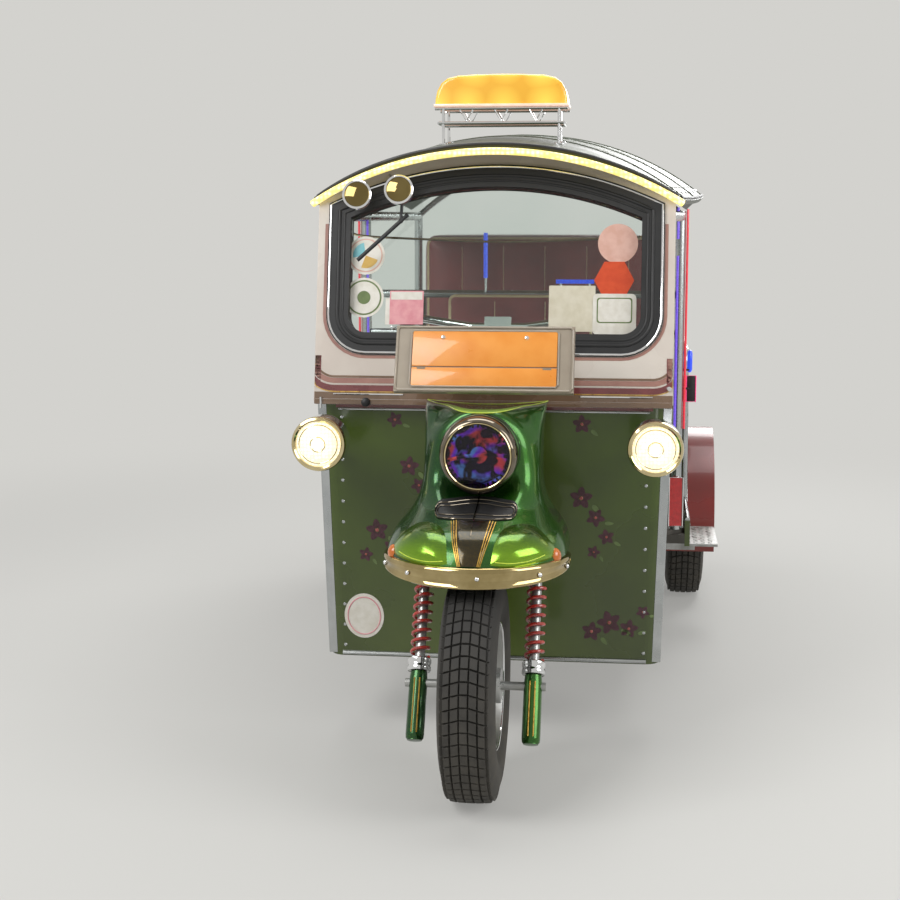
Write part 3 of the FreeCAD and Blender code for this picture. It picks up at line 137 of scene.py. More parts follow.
def surface(name, main, second, patch_mm, roughness, layers=(), dust=0.0, shader=None, spread=0.08):
    """A finish of two near colours in soft patches, with uneven gloss and layers of fine relief.

    Each layer is (kind, size in mm, depth in mm, stretch along x, y, z)."""
    material, tree = blank(name)
    place = add(tree, "TexCoord").outputs["Object"]
    patches = noise(tree, place, 1000 / patch_mm, 4.0)
    colour = mix(tree, ramp(tree, patches, 0.36, 0.64), linear(main), linear(second))
    if dust:
        height = add(tree, "SeparateXYZ", {"Vector": place}).outputs["Z"]
        share = multiply(tree, ramp(tree, height, 0.62, 0.12, 0.0, dust), patches)
        colour = mix(tree, share, colour, linear("#8C8474"))
    rough = ramp(tree, patches, 0.3, 0.7, max(0.0, roughness - spread), roughness + spread)
    settings = {"Base Color": colour, "Roughness": rough}
    for kind, size_mm, depth_mm, stretch in layers:
        grid = add(tree, "Mapping", {"Vector": place, "Scale": stretch}).outputs["Vector"]
        if kind == "cells":
            height = add(tree, "TexVoronoi", {"Vector": grid, "Scale": 1000 / size_mm}).outputs["Distance"]
        else:
            height = noise(tree, grid, 1000 / size_mm, 2.0)
        bump = {"Height": height, "Strength": 1.0, "Distance": depth_mm * MM}
        if "Normal" in settings:
            bump["Normal"] = settings["Normal"]
        settings["Normal"] = add(tree, "Bump", bump).outputs["Normal"]
    settings.update(shader or {})
    return finished(material, settings)


def flaked(name, main, second, flake, fade, roughness=0.24, metal=0.75):
    """Candy lacquer over metal flake, with painted light and shade: the colour runs along an axis; fade is
    the axis, and where main ends and second is full, in metres.
    """
    material, tree = blank(name)
    place = add(tree, "TexCoord").outputs["Object"]
    uneven = ramp(tree, noise(tree, place, 9.0, 3.0), 0.35, 0.65, 0.0, 0.25)
    # Painted light and shade: the colour runs from main to second along the fade axis.
    along = add(tree, "SeparateXYZ", {"Vector": place}).outputs[fade[0]]
    run = ramp(tree, along, fade[1], fade[2], 0.0, 0.75)
    share = add(tree, "Math", {"operation": "ADD", 0: run, 1: uneven}).outputs[0]
    colour = mix(tree, share, linear(main), linear(second))
    # Real flake is about 0.1 mm; it is drawn at 0.8 mm, so that it shows.
    cells = add(tree, "TexVoronoi", {"Vector": place, "Scale": 1250.0}).outputs["Color"]
    value = add(tree, "SeparateColor", {"Color": cells}).outputs[0]
    colour = mix(tree, ramp(tree, value, 0.72, 1.0, 0.0, 0.55), colour, linear(flake))
    return finished(material, {"Base Color": colour, "Roughness": roughness, "Metallic": metal,
                               "Coat Weight": 0.45, "Coat Roughness": 0.03})


def lit(name, colour, edge, strength, cell_mm):
    """A lamp's glowing face: brighter cells, one for each light behind it."""
    material, tree = blank(name)
    place = add(tree, "TexCoord").outputs["Object"]
    cells = add(tree, "TexVoronoi", {"Vector": place, "Scale": 1000 / cell_mm,
                                     "Randomness": 0.3}).outputs["Distance"]
    tint = mix(tree, ramp(tree, cells, 0.1, 0.6), linear(colour), linear(edge))
    return finished(material, {"Base Color": tint, "Roughness": 0.3, "Emission Color": tint,
                               "Emission Strength": strength, "Coat Weight": 0.6})


SIDES = (-1, 1)
EVEN = (1, 1, 1)
PEEL = ("noise", 4.0, 0.03, EVEN)
GLOSSY = {"Coat Weight": 0.8, "Coat Roughness": 0.05}
DEEP = {"Coat Weight": 0.35, "Coat Roughness": 0.06}

# Two-pack enamel on sheet steel: deep even colour, slight orange peel, and gloss that dust dulls low down.
olive_enamel = surface("olive_enamel", "#374708", "#43560E", 260, 0.30, [PEEL], 0.2, DEEP)
cream_enamel = surface("cream_enamel", "#CFC3B8", "#DAD1C6", 180, 0.26, [PEEL], 0.0, GLOSSY)
red_enamel = surface("red_enamel", "#8A0F0D", "#760B0A", 160, 0.28, [PEEL], 0.25, DEEP)
maroon_enamel = surface("maroon_enamel", "#6A2E30", "#7C3A3A", 60, 0.30, [PEEL], 0.0, GLOSSY)
bronze_enamel = surface("bronze_enamel", "#6A5340", "#7A604A", 90, 0.26, [PEEL], 0.0, GLOSSY)
silver_enamel = surface("silver_enamel", "#B9BBBA", "#A6A8A8", 90, 0.34, [PEEL], 0.7,
                        {"Metallic": 0.6, "Coat Weight": 0.3})
grey_enamel = surface("grey_enamel", "#8F8A80", "#9B968B", 120, 0.38, [PEEL], 0.3, {"Coat Weight": 0.4})
beige_enamel = surface("beige_enamel", "#8E8272", "#9C907F", 90, 0.36, [PEEL], 0.0, {"Coat Weight": 0.4})
# Candy lacquer over flake: emerald on the right, and lime on the left and on the parts that bulge, where the
# lime is a painted highlight.
candy_green_painted_highlight = flaked("candy_green_painted_highlight", "#0F3A22", "#2C6416", "#5E8E28", ("X", -0.13, 0.13))
# Keel: its dark is painted shade between the domes, browner low down.
candy_keel_painted_shade = flaked("candy_keel_painted_shade", "#3A3018", "#14180E", "#7A6430", ("Z", 0.600, 0.650), 0.2)
# Domes: lime low down is a painted highlight, and the dark green higher up is painted shade.
candy_dome_painted_light = flaked("candy_dome_painted_light", "#7BA818", "#1C4A1A", "#A8C838", ("Z", 0.598, 0.642), 0.2)
# Brow: its lime, brighter at the top, is a painted highlight.
candy_brow_painted_highlight = flaked("candy_brow_painted_highlight", "#5E9A10", "#8CBE16", "#B8DA30", ("Z", 0.884, 0.900), 0.3, 0.2)
# Decorative chrome: mirror bright, with faint haze where it is handled.
bright_chrome = surface("bright_chrome", "#E9E9EA", "#DADBDC", 50, 0.07, [("noise", 60, 0.08, EVEN)], 0.0,
                        {"Metallic": 1.0}, spread=0.05)
# Chrome with painted reflections: warm gold ones on the lip, dark ones on the lamp's ring, so that these look
# deeper than the rest.
chrome_painted_warm_reflection = surface("chrome_painted_warm_reflection", "#BBA97C", "#A08E62", 60, 0.08, [("noise", 50, 0.10, EVEN)], 0.0,
                      {"Metallic": 1.0}, spread=0.04)
chrome_painted_dark_reflection = surface("chrome_painted_dark_reflection", "#857C6E", "#6C6459", 50, 0.06, [("noise", 60, 0.08, EVEN)], 0.0,
                      {"Metallic": 1.0}, spread=0.04)
# Brass-tinted chrome on the beads: warm yellow reflections.
brass_chrome = surface("brass_chrome", "#D8C9A0", "#CBB98A", 40, 0.10, [("noise", 40, 0.08, EVEN)], 0.0,
                       {"Metallic": 1.0}, spread=0.06)
# Drawn stainless tube: fine lines along the tube and soft reflections.
stainless_tube = surface("stainless_tube", "#BFC2C3", "#AFB3B4", 70, 0.24,
                         [("noise", 1.6, 0.02, (1, 1, 0.05))], 0.3, {"Metallic": 1.0})
# Rolled aluminium tread plate: pale metal, scuffed by shoes.
tread_aluminium = surface("tread_aluminium", "#B4B6B5", "#9A9C9B", 30, 0.38,
                          [("noise", 3, 0.05, (1, 0.1, 1))], 0.5, {"Metallic": 1.0}, spread=0.14)
# Brush-painted black chassis paint over steel: satin, dusty, slightly lumpy.
chassis_black = surface("chassis_black", "#1B1C1D", "#26272A", 90, 0.48, [("noise", 9, 0.12, EVEN)], 0.8)
# Aluminised exhaust sheet: dull grey with brown heat stains.
exhaust_steel = surface("exhaust_steel", "#8B8782", "#6B5B4A", 60, 0.5, [("noise", 5, 0.06, EVEN)], 0.6,
                        {"Metallic": 0.9})
# Cast iron engine: sandy skin, oily and nearly black.
cast_iron = surface("cast_iron", "#3A3B3C", "#2A2724", 50, 0.6, [("noise", 2.5, 0.2, EVEN)], 0.6,
                    {"Metallic": 0.5})
painted_steel = surface("painted_steel", "#3E4A3A", "#4A5644", 140, 0.42, [PEEL], 0.3, {"Coat Weight": 0.3})
# Extruded EPDM rubber: matt black, with a slight bloom.
black_rubber = surface("black_rubber", "#151516", "#1F1F20", 60, 0.52, [("noise", 2, 0.05, EVEN)])
# Vulcanised tyre rubber: dark grey, matt, dusty at the tread.
tyre_rubber = surface("tyre_rubber", "#19191A", "#232324", 40, 0.74, [("noise", 1.5, 0.08, EVEN)], 0.35)
# Vinyl bonded on the roof's rigid shell: a fine even grain with a low sheen.
roof_vinyl = surface("roof_vinyl", "#2B3320", "#353D28", 200, 0.46, [("cells", 2.2, 0.12, EVEN)], 0.0,
                     {"Coat Weight": 0.15})
# Padded leatherette: pebbled grain of about 1.5 mm with a low sheen.
leather_grain = ("cells", 1.8, 0.16, EVEN)
maroon_leatherette = surface("maroon_leatherette", "#6B1F22", "#7B2A2B", 70, 0.42,
                             [("noise", 40, 0.6, EVEN), leather_grain], 0.0, {"Sheen Weight": 0.15})
cream_leatherette = surface("cream_leatherette", "#CDBB94", "#BFAA80", 70, 0.42,
                            [("noise", 40, 0.6, EVEN), leather_grain], 0.0, {"Sheen Weight": 0.15})
headliner_cloth = surface("headliner_cloth", "#8A6A3E", "#7A5A34", 90, 0.55,
                          [("noise", 60, 1.2, EVEN), leather_grain], 0.0, {"Sheen Weight": 0.3})
red_spring_paint = surface("red_spring_paint", "#C4281C", "#A81F16", 20, 0.32, [PEEL], 0.3, GLOSSY)
# Gold pinstripe lacquer.
gold_stripe = surface("gold_stripe", "#B88A34", "#D3AC52", 15, 0.3, (), 0.0, {"Metallic": 0.6})
# Bright lime lines: painted highlights along the brow's creases and the domes' bases.
lime_painted_highlight_line = surface("lime_painted_highlight_line", "#D8E85A", "#C4DA3E", 15, 0.3, (), 0.0, {"Coat Weight": 0.6})
pink_stripe = surface("pink_stripe", "#B4625C", "#9A4A46", 30, 0.36)
rose_stripe = surface("rose_stripe", "#A87C6E", "#97695E", 60, 0.32, [PEEL], 0.0, GLOSSY)
# Retroreflective plate sheeting: flat orange-yellow with a faint cell pattern.
plate_sheeting = surface("plate_sheeting", "#E08A2C", "#E7963A", 60, 0.35, [("cells", 1.5, 0.02, EVEN)], 0.0,
                         {"Coat Weight": 0.5})
# Printed vinyl stickers, slightly dulled by sun.
sticker_white = surface("sticker_white", "#E4E0D6", "#D8D3C6", 20, 0.4)
sticker_pink = surface("sticker_pink", "#D98E96", "#E3A2A6", 20, 0.4)
sticker_blush = surface("sticker_blush", "#DDB4A6", "#D3A595", 20, 0.4)
sticker_orange = surface("sticker_orange", "#D4512A", "#C94520", 20, 0.4)
sticker_cyan = surface("sticker_cyan", "#6FB9C4", "#86C6CD", 20, 0.4)
sticker_gold = surface("sticker_gold", "#C9A24E", "#D6B264", 20, 0.4)
sticker_olive = surface("sticker_olive", "#5E7040", "#6B7E4A", 20, 0.4)
blossom_maroon = surface("blossom_maroon", "#3E2026", "#54303A", 8, 0.42)
paper = surface("paper", "#D9D2BE", "#CFC7B0", 25, 0.8)
# Laminated glass with a faint green body tint.
laminated_glass = surface("laminated_glass", "#EAF2EE", "#E2EDE8", 300, 0.02, (), 0.0,
                          {"Transmission Weight": 1.0, "IOR": 1.52}, spread=0.01)
# Smoked headlight glass, pressed with a soft wave.
smoked_glass = surface("smoked_glass", "#A79DB0", "#9890A6", 25, 0.03, [("noise", 30, 0.2, EVEN)], 0.0,
                       {"Transmission Weight": 1.0, "IOR": 1.35}, spread=0.02)


def reflections_painted(name, share):
    """A dark reflector with painted reflections: bent arcs of red, violet and blue about the lamp's middle,
    which also glow.
    """
    material, tree = blank(name)
    place = add(tree, "TexCoord").outputs["Object"]
    from_lamp = add(tree, "VectorMath", {"operation": "SUBTRACT", 0: place, 1: LAMP}).outputs["Vector"]
    arcs = add(tree, "TexWave", {"wave_type": "RINGS", "rings_direction": "SPHERICAL", "Vector": from_lamp,
                                 "Scale": 8.0, "Distortion": 3.6, "Detail": 3.0,
                                 "Detail Scale": 3.0}).outputs["Fac"]
    broken = add(tree, "TexNoise", {"Vector": place, "Scale": 26.0, "Detail": 3.0,
                                    "Distortion": 0.6}).outputs["Fac"]
    patch = multiply(tree, ramp(tree, arcs, 0.35, 0.75), ramp(tree, broken, 0.95 - share, 1.05 - share))
    tone = noise(tree, place, 17.0, 1.0)
    hue = mix(tree, ramp(tree, tone, 0.42, 0.52), linear("#F0604C"), linear("#8E44F0"))
    hue = mix(tree, ramp(tree, tone, 0.54, 0.62), hue, linear("#6FB8EC"))
    colour = mix(tree, patch, linear("#24171E"), hue)
    wave = noise(tree, place, 60.0, 1.0)
    bump = add(tree, "Bump", {"Height": wave, "Strength": 1.0, "Distance": MM}).outputs["Normal"]
    return finished(material, {"Base Color": colour, "Roughness": 0.18, "Metallic": 0.4, "Normal": bump,
                               "Emission Color": hue, "Emission Strength": multiply(tree, patch, 0.6)})


# Painted reflections on the bowl are broken into arcs, and cover nearly all of the bar before the bulb.
bowl_painted_reflections = reflections_painted("bowl_painted_reflections", 0.50)
bar_painted_reflections = reflections_painted("bar_painted_reflections", 0.64)
# Gold-tinted convex mirror glass.
mirror_gold = surface("mirror_gold", "#8A7A4E", "#7A6A42", 80, 0.04, (), 0.0, {"Metallic": 1.0}, spread=0.02)
red_lens = surface("red_lens", "#B0161A", "#8E1014", 12, 0.15, [("cells", 5, 0.35, EVEN)], 0.0,
                   {"Transmission Weight": 0.3, "Coat Weight": 0.8, "Emission Color": linear("#C01818"),
                    "Emission Strength": 0.25})
amber_lens = surface("amber_lens", "#D9741A", "#C86412", 12, 0.15, [("cells", 5, 0.35, EVEN)], 0.0,
                     {"Transmission Weight": 0.3, "Coat Weight": 0.8, "Emission Color": linear("#D9741A"),
                      "Emission Strength": 0.2})
lit_lamp = lit("lit_lamp", "#FFFBEC", "#FAEBC0", 0.75, 9)
lit_bulb = lit("lit_bulb", "#FFFFF4", "#FFF3C8", 1.5, 20)
lit_strip = lit("lit_strip", "#FFF9CF", "#FBE27A", 0.85, 12)
lit_sign = lit("lit_sign", "#F3CF4E", "#DFA42A", 0.30, 90)
# The sign's base line is no lamp: its glow is painted light.
sign_base_painted_glow = lit("sign_base_painted_glow", "#F7E3CF", "#EFC9B4", 0.45, 40)
neon_violet = lit("neon_violet", "#7E63E8", "#6B49D8", 0.55, 9)
neon_red = lit("neon_red", "#F0484C", "#DB2F40", 0.55, 9)
neon_blue = lit("neon_blue", "#2F5CF5", "#2447DC", 0.7, 9)
neon_pink = lit("neon_pink", "#F04A8A", "#E03A78", 0.6, 9)

# The finish of each CAD node.
NODE_FINISH = {
    chassis_black: "chassis_frame rear_axle prop_shaft leaf_springs wiper sign_rack steering_head floor_pan",
    cast_iron: "engine_block", painted_steel: "engine_cover",
    olive_enamel: "front_panel side_panels rear_panel seat_box",
    cream_enamel: "windscreen_frame", black_rubber: "windscreen_seal grips",
    laminated_glass: "windscreen_glass", smoked_glass: "headlight_lens",
    bright_chrome: "front_mirrors headlight_rim nose_trim handlebar side_lamps rear_bumper",
    roof_vinyl: "roof_shell", lit_strip: "light_strip", lit_sign: "roof_sign", lit_lamp: "side_lamp_lenses",
    stainless_tube: "roof_frame passenger_rails", exhaust_steel: "exhaust",
    tyre_rubber: "front_tyre rear_left_tyre rear_right_tyre",
    silver_enamel: "front_rim rear_left_rim rear_right_rim fork", grey_enamel: "gas_tank",
    beige_enamel: "plate_frame", red_enamel: "rear_fenders", tread_aluminium: "side_steps",
    maroon_leatherette: "passenger_cushion passenger_backrest driver_cushion driver_backrest",
    red_spring_paint: "fork_springs", candy_green_painted_highlight: "nose_mask", red_lens: "red_lamps",
}
for finish, names in NODE_FINISH.items():
    for node_name in names.split():
        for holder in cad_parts[node_name].material_slots:
            holder.material = finish


# Shapes.
def put(bm, name, finish, body, replaces=(), sharp=35):
    """Makes the finished piece of a bmesh and ties it to the body that carries it."""
    bmesh.ops.recalc_face_normals(bm, faces=bm.faces)
    mesh = bpy.data.meshes.new(name)
    bm.to_mesh(mesh)
    bm.free()
    mesh.materials.append(finish)
    mesh.shade_smooth()
    mesh.set_sharp_from_angle(angle=math.radians(sharp))
    piece = bpy.data.objects.new(name, mesh)
    scene.collection.objects.link(piece)
    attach(piece, body)
    if replaces:
        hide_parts(*replaces)
    return piece


def frames_along(path, closed=False, level=None):
    """A place and turn at each point of a path, with Z ahead; level keeps X across that direction."""
    count = len(path)
    frames = []
    side = None
    for i, spot in enumerate(path):
        before = path[i - 1] if i or closed else spot
        after = path[(i + 1) % count] if i + 1 < count or closed else spot
        ahead = (after - before).normalized()
        if level is not None:
            side = ahead.cross(level)
        elif side is None:
            side = ahead.orthogonal()
        side = (side - ahead * side.dot(ahead)).normalized()
        turn = Matrix((side, ahead.cross(side), ahead)).transposed().to_4x4()
        frames.append(Matrix.Translation(spot) @ turn)
    return frames


def sweep(bm, frames, section, closed=False):
    """Extrudes an outline from frame to frame; section is a radius and sides, or a list of corners."""
    if isinstance(section, tuple):
        radius, sides = section
        verts = bmesh.ops.create_circle(bm, segments=sides, radius=radius, matrix=frames[0])["verts"]
        loop = list({edge for vert in verts for edge in vert.link_edges})
    else:
        verts = [bm.verts.new(frames[0] @ Vector((a, b, 0))) for a, b in section]
        loop = [bm.edges.new(pair) for pair in zip(verts, verts[1:] + verts[:1])]
    first = loop
    for before, after in zip(frames, frames[1:]):
        made = bmesh.ops.extrude_edge_only(bm, edges=loop)["geom"]
        verts = {item for item in made if isinstance(item, bmesh.types.BMVert)}
        loop = [item for item in made if isinstance(item, bmesh.types.BMEdge) and set(item.verts) <= verts]
        bmesh.ops.transform(bm, matrix=after @ before.inverted(), verts=list(verts))
    if closed:
        bmesh.ops.bridge_loops(bm, edges=first + loop)
    else:
        bmesh.ops.edgeloop_fill(bm, edges=first)
        bmesh.ops.edgeloop_fill(bm, edges=loop)


def tube(bm, path, radius, sides=10, closed=False):
    """A round rod along a path."""
    sweep(bm, frames_along(path, closed), (radius, sides), closed)


def turned(bm, outline, place, steps=48, ring=False):
    """Spins an outline of (radius, height) corners about the Z axis of a place."""
    verts = [bm.verts.new(place @ Vector((radius, 0, height))) for radius, height in outline]
    pairs = list(zip(verts, verts[1:]))
    if ring:
        pairs.append((verts[-1], verts[0]))
    edges = [bm.edges.new(pair) for pair in pairs]
    bmesh.ops.spin(bm, geom=verts + edges, cent=place.translation, axis=place.to_3x3() @ Z,
                   angle=2 * math.pi, steps=steps, use_merge=True)
    bmesh.ops.remove_doubles(bm, verts=bm.verts, dist=1e-6)


def block(bm, size, place, edge=0.0, segments=2):
    """A block of the given size about a place, with rounded edges."""
    verts = bmesh.ops.create_cube(bm, size=1.0, matrix=place @ Matrix.Diagonal((*size, 1)))["verts"]
    if edge:
        edges = list({item for vert in verts for item in vert.link_edges})
        bmesh.ops.bevel(bm, geom=edges, offset=edge, offset_type="OFFSET", segments=segments, profile=0.5,
                        affect="EDGES", material=-1)


def thicken(bm, corners, shift):
    """A flat sheet with the given corners, thickened by a vector."""
    face = bm.faces.new([bm.verts.new(corner) for corner in corners])
    made = bmesh.ops.extrude_face_region(bm, geom=[face])["geom"]
    bmesh.ops.translate(bm, vec=shift, verts=[item for item in made if isinstance(item, bmesh.types.BMVert)])


def plate_from(bm, corners, place, thickness):
    """A flat sheet with the given outline, thickened along the place's Y axis."""
    thicken(bm, [place @ Vector((a, 0, b)) for a, b in corners], place.to_3x3() @ Vector((0, thickness, 0)))


def turn_faces(bm, ahead):
    """Makes the faces of an open sheet look along a direction."""
    bmesh.ops.recalc_face_normals(bm, faces=bm.faces)
    if sum(face.normal.dot(ahead) for face in bm.faces) < 0:
        bmesh.ops.reverse_faces(bm, faces=bm.faces)


def spun(name, finish, body, outline, places, steps, ring=False, replaces=()):
    """A piece made by spinning one outline at each of its places."""
    bm = bmesh.new()
    for place in places:
        turned(bm, outline, place, steps, ring)
    put(bm, name, finish, body, replaces)


def rods(name, finish, body, paths, radius, sides=8, closed=False):
    """A piece made of round rods of one size along its paths."""
    bm = bmesh.new()
    for path in paths:
        tube(bm, path, radius, sides, closed)
    put(bm, name, finish, body)


def ribbon(bm, path, across, width, thick):
    """A flat strip along a path, with its thickness along a direction."""
    a, b = width / 2, thick / 2
    sweep(bm, frames_along(path, level=across), [(-a, -b), (a, -b), (a, b), (-a, b)])


def upright(x, y, heights):
    """Points above each other."""
    return [Vector((x, y, z)) for z in heights]


def facing(spot, ahead):
    """A place at a spot whose Z axis points along a direction."""
    return Matrix.Translation(spot) @ ahead.to_track_quat("Z", "Y").to_matrix().to_4x4()


def rounded_loop(half_a, half_b, radius, steps=8):
    """Corners of a rounded rectangle about the middle."""
    points = []
    for sa, sb, start in ((1, 1, 0), (-1, 1, 90), (-1, -1, 180), (1, -1, 270)):
        for i in range(steps + 1):
            a = math.radians(start + 90 * i / steps)
            points.append((sa * (half_a - radius) + radius * math.cos(a),
                           sb * (half_b - radius) + radius * math.sin(a)))
    return points


def node_skin(name):
    """The surface of a CAD node, to lay trims on."""
    bm = bmesh.new()
    bm.from_mesh(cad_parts[name].data)
    tree = BVHTree.FromBMesh(bm)
    bm.free()
    return tree


def touch(skin, spot, ahead):
    """Where a ray from a spot meets a surface, and the surface's normal there."""
    hit, normal, _, _ = skin.ray_cast(Vector(spot), Vector(ahead))
    return hit, normal


def arc_points(centre, radius, start, end, count, across, upward):
    """Points on an arc in the plane of two directions; angles in degrees."""
    return [centre + across * radius * math.cos(math.radians(start + (end - start) * i / (count - 1)))
            + upward * radius * math.sin(math.radians(start + (end - start) * i / (count - 1)))
            for i in range(count)]


def smooth_row(rows, at):
    """Values between rows of numbers, on a smooth curve through them."""
    i = min(int(at), len(rows) - 2)
    t = at - i
    before, start = rows[max(i - 1, 0)], rows[i]
    end, after = rows[i + 1], rows[min(i + 2, len(rows) - 1)]
    return [0.5 * (2 * b + (c - a) * t + (2 * a - 5 * b + 4 * c - d) * t * t
                   + (3 * b - a - 3 * c + d) * t ** 3) for a, b, c, d in zip(before, start, end, after)]


def ease(value, low, high):
    """Runs smoothly from 0 at low to 1 at high."""
    t = min(max((value - low) / (high - low), 0.0), 1.0)
    return t * t * (3 - 2 * t)


# Nose: one flowing cowl from the brow under the number plate down to the mudguard.
# Rows: height in the middle, at the sides, half width, then front, side and rear reach ahead of the panel.
COWL_ROWS = [
    (0.574, 0.574, 0.2085, 0.582, 0.385, 0.250), (0.606, 0.602, 0.2050, 0.568, 0.376, 0.245),
    (0.638, 0.632, 0.1915, 0.536, 0.352, 0.235), (0.664, 0.660, 0.1680, 0.478, 0.324, 0.220),
    (0.690, 0.690, 0.1500, 0.420, 0.300, 0.205), (0.728, 0.728, 0.1400, 0.374, 0.284, 0.170),
    (0.780, 0.780, 0.1380, 0.345, 0.266, 0.150), (0.836, 0.842, 0.1395, 0.322, 0.238, 0.150),
    (0.872, 0.879, 0.1440, 0.284, 0.202, 0.150), (0.8945, 0.897, 0.1462, 0.236, 0.172, 0.146),
    (0.8950, 0.904, 0.1465, 0.132, 0.136, 0.124)]
FRONT_SHARE = 0.78
COLLAR_Y, COLLAR_RADIUS = -1.075, 0.0922


def cowl_point(height, turn, lift=0.0):
    """A point of the cowl: height from 0 to 1, turn from -1 at the right rear edge to 1 at the left one."""
    middle_z, side_z, half, front, side, rear = smooth_row(COWL_ROWS, height * (len(COWL_ROWS) - 1))
    angle = min(abs(turn) / FRONT_SHARE, 1.0) * math.pi / 2
    back = max(abs(turn) - FRONT_SHARE, 0.0) / (1 - FRONT_SHARE)
    x = math.copysign(half * math.sin(angle), turn)
    reach = side + (front - side) * math.cos(angle) - (side - rear) * back
    z = middle_z + (side_z - middle_z) * math.sin(angle) ** 2
    flat = ease(math.hypot(x, z - LAMP.z), 0.140, 0.094) * (1 - ease(height, 0.905, 1.0))
    reach += (PANEL_Y - LAMP.y - 0.034 - reach) * flat * math.cos(angle)
    return Vector((x * (1 + lift / half), PANEL_Y - reach - lift * math.cos(angle), z))


cowl = bmesh.new()
bmesh.ops.create_grid(cowl, x_segments=120, y_segments=76, size=0.5)
for vert in cowl.verts:
    vert.co = cowl_point(vert.co.y + 0.5, vert.co.x * 2)
inside = [face for face in cowl.faces if all(math.hypot(v.co.x, v.co.z - LAMP.z) < COLLAR_RADIUS
                                             and v.co.y < COLLAR_Y for v in face.verts)]
bmesh.ops.delete(cowl, geom=inside, context="FACES")
for vert in cowl.verts:
    gap = Vector((vert.co.x, 0, vert.co.z - LAMP.z))
    if vert.is_boundary and gap.length < COLLAR_RADIUS + 0.012 and vert.co.y < COLLAR_Y:
        vert.co += gap.normalized() * (COLLAR_RADIUS - gap.length)
turn_faces(cowl, -Y)
cowl_skin = BVHTree.FromBMesh(cowl)
bmesh.ops.solidify(cowl, geom=cowl.faces, thickness=0.0045)
put(cowl, "nose_cowl", candy_green_painted_highlight, "steering", ["nose_mask"], sharp=50)
# The hood is a short collar that joins the cowl to the lamp.
LAMP_PLACE = facing(LAMP, -Y)
spun("nose_lamp_hood", candy_green_painted_highlight, "steering",
     [(0.0890, -0.034), (0.0922, -0.034), (0.0930, -0.038), (0.0930, -0.100), (0.0890, -0.100)],
     [LAMP_PLACE], 96, ring=True)


def on_cowl(x, z, lift=0.0):
    """A point on the cowl's front, a little proud of it, and the normal there."""
    hit, normal = touch(cowl_skin, (x, -2.0, z), Y)
    outward = normal if normal.y < 0 else -normal
    return hit + outward * lift, outward


def smooth_path(points, steps=8):
    """A smooth line of points through a few given ones."""
    spans = len(points) - 1
    return [smooth_row(points, i / steps) for i in range(spans * steps + 1)]


def stripe_on_cowl(bm, points, width, lift):
    """A raised painted line on the cowl through a few points given by x and height."""
    ribbon(bm, [on_cowl(x, z, lift)[0] for x, z in smooth_path(points)], Y, width, 0.0012)


# Domed panels either side of the ridge, above the lip, lime with painted highlight and dark with painted
# shade: the right one's outline, which the left mirrors.
DOME_RIGHT = [(-0.046, 0.586), (-0.052, 0.628), (-0.066, 0.652), (-0.100, 0.660), (-0.135, 0.653),
              (-0.165, 0.632), (-0.186, 0.604), (-0.180, 0.588), (-0.140, 0.582), (-0.090, 0.578)]
DOME_RINGS, DOME_RISE = 9, 0.0155
DOME_BASE = [(-0.058, 0.5935), (-0.095, 0.5900), (-0.135, 0.5925), (-0.164, 0.6000)]
dome_highlight_lines = bmesh.new()
for side_name, sign in (("right", 1), ("left", -1)):
    outline = smooth_path([(sign * a, b) for a, b in DOME_RIGHT + DOME_RIGHT[:1]], 6)[:-1]
    centre = [sum(p[i] for p in outline) / len(outline) for i in (0, 1)]
    dome = bmesh.new()
    ring_edges = None
    for step in range(DOME_RINGS):
        share = 1 - step / DOME_RINGS
        lift = DOME_RISE * (1 - share ** 2.4)
        spots = [on_cowl(centre[0] + (a - centre[0]) * share, centre[1] + (b - centre[1]) * share,
                         lift - 0.0008)[0] for a, b in outline]
        verts = [dome.verts.new(spot) for spot in spots]
        edges = [dome.edges.new(pair) for pair in zip(verts, verts[1:] + verts[:1])]
        if ring_edges:
            bmesh.ops.bridge_loops(dome, edges=ring_edges + edges)
        ring_edges = edges
    cap = bmesh.ops.edgeloop_fill(dome, edges=ring_edges)["faces"]
    bmesh.ops.poke(dome, faces=cap)
    turn_faces(dome, -Y)
    skin = BVHTree.FromBMesh(dome)
    # A painted highlight line along each dome's base.
    base = [touch(skin, (sign * x, -2.0, z), Y)[0] for x, z in smooth_path(DOME_BASE)]
    tube(dome_highlight_lines, [spot - Y * 0.0004 for spot in base], 0.0011, 6)
    bmesh.ops.solidify(dome, geom=dome.faces, thickness=0.002)
    put(dome, "nose_dome_" + side_name, candy_dome_painted_light, "steering", sharp=60)
put(dome_highlight_lines, "nose_dome_highlight_lines", lime_painted_highlight_line, "steering")

# Brow: a lime crescent of painted highlight over the lamp, between two painted highlight lines.
BROW_TURN = 0.72


def brow_height(turn, share):
    """Height on the cowl at a turn, from the crescent's lower edge at 0 to its upper one at 1."""
    low = 0.903 + 0.086 * abs(turn / BROW_TURN) ** 1.8
    return low + (0.994 - low) * share


brow = bmesh.new()
bmesh.ops.create_grid(brow, x_segments=56, y_segments=10, size=0.5)
for vert in brow.verts:
    turn = vert.co.x * 2 * BROW_TURN
    vert.co = cowl_point(brow_height(turn, vert.co.y + 0.5), turn, 0.0012)
bmesh.ops.recalc_face_normals(brow, faces=brow.faces)
bmesh.ops.solidify(brow, geom=brow.faces, thickness=0.001)
put(brow, "nose_brow_painted_highlight", candy_brow_painted_highlight, "steering")
turns = [BROW_TURN * (i / 24 - 1) for i in range(49)]
rods("nose_brow_painted_highlight_lines", lime_painted_highlight_line, "steering",
     [[cowl_point(brow_height(turn, share), turn, 0.0019) for turn in turns] for share in (0.0, 0.95)],
     0.0012, 6)

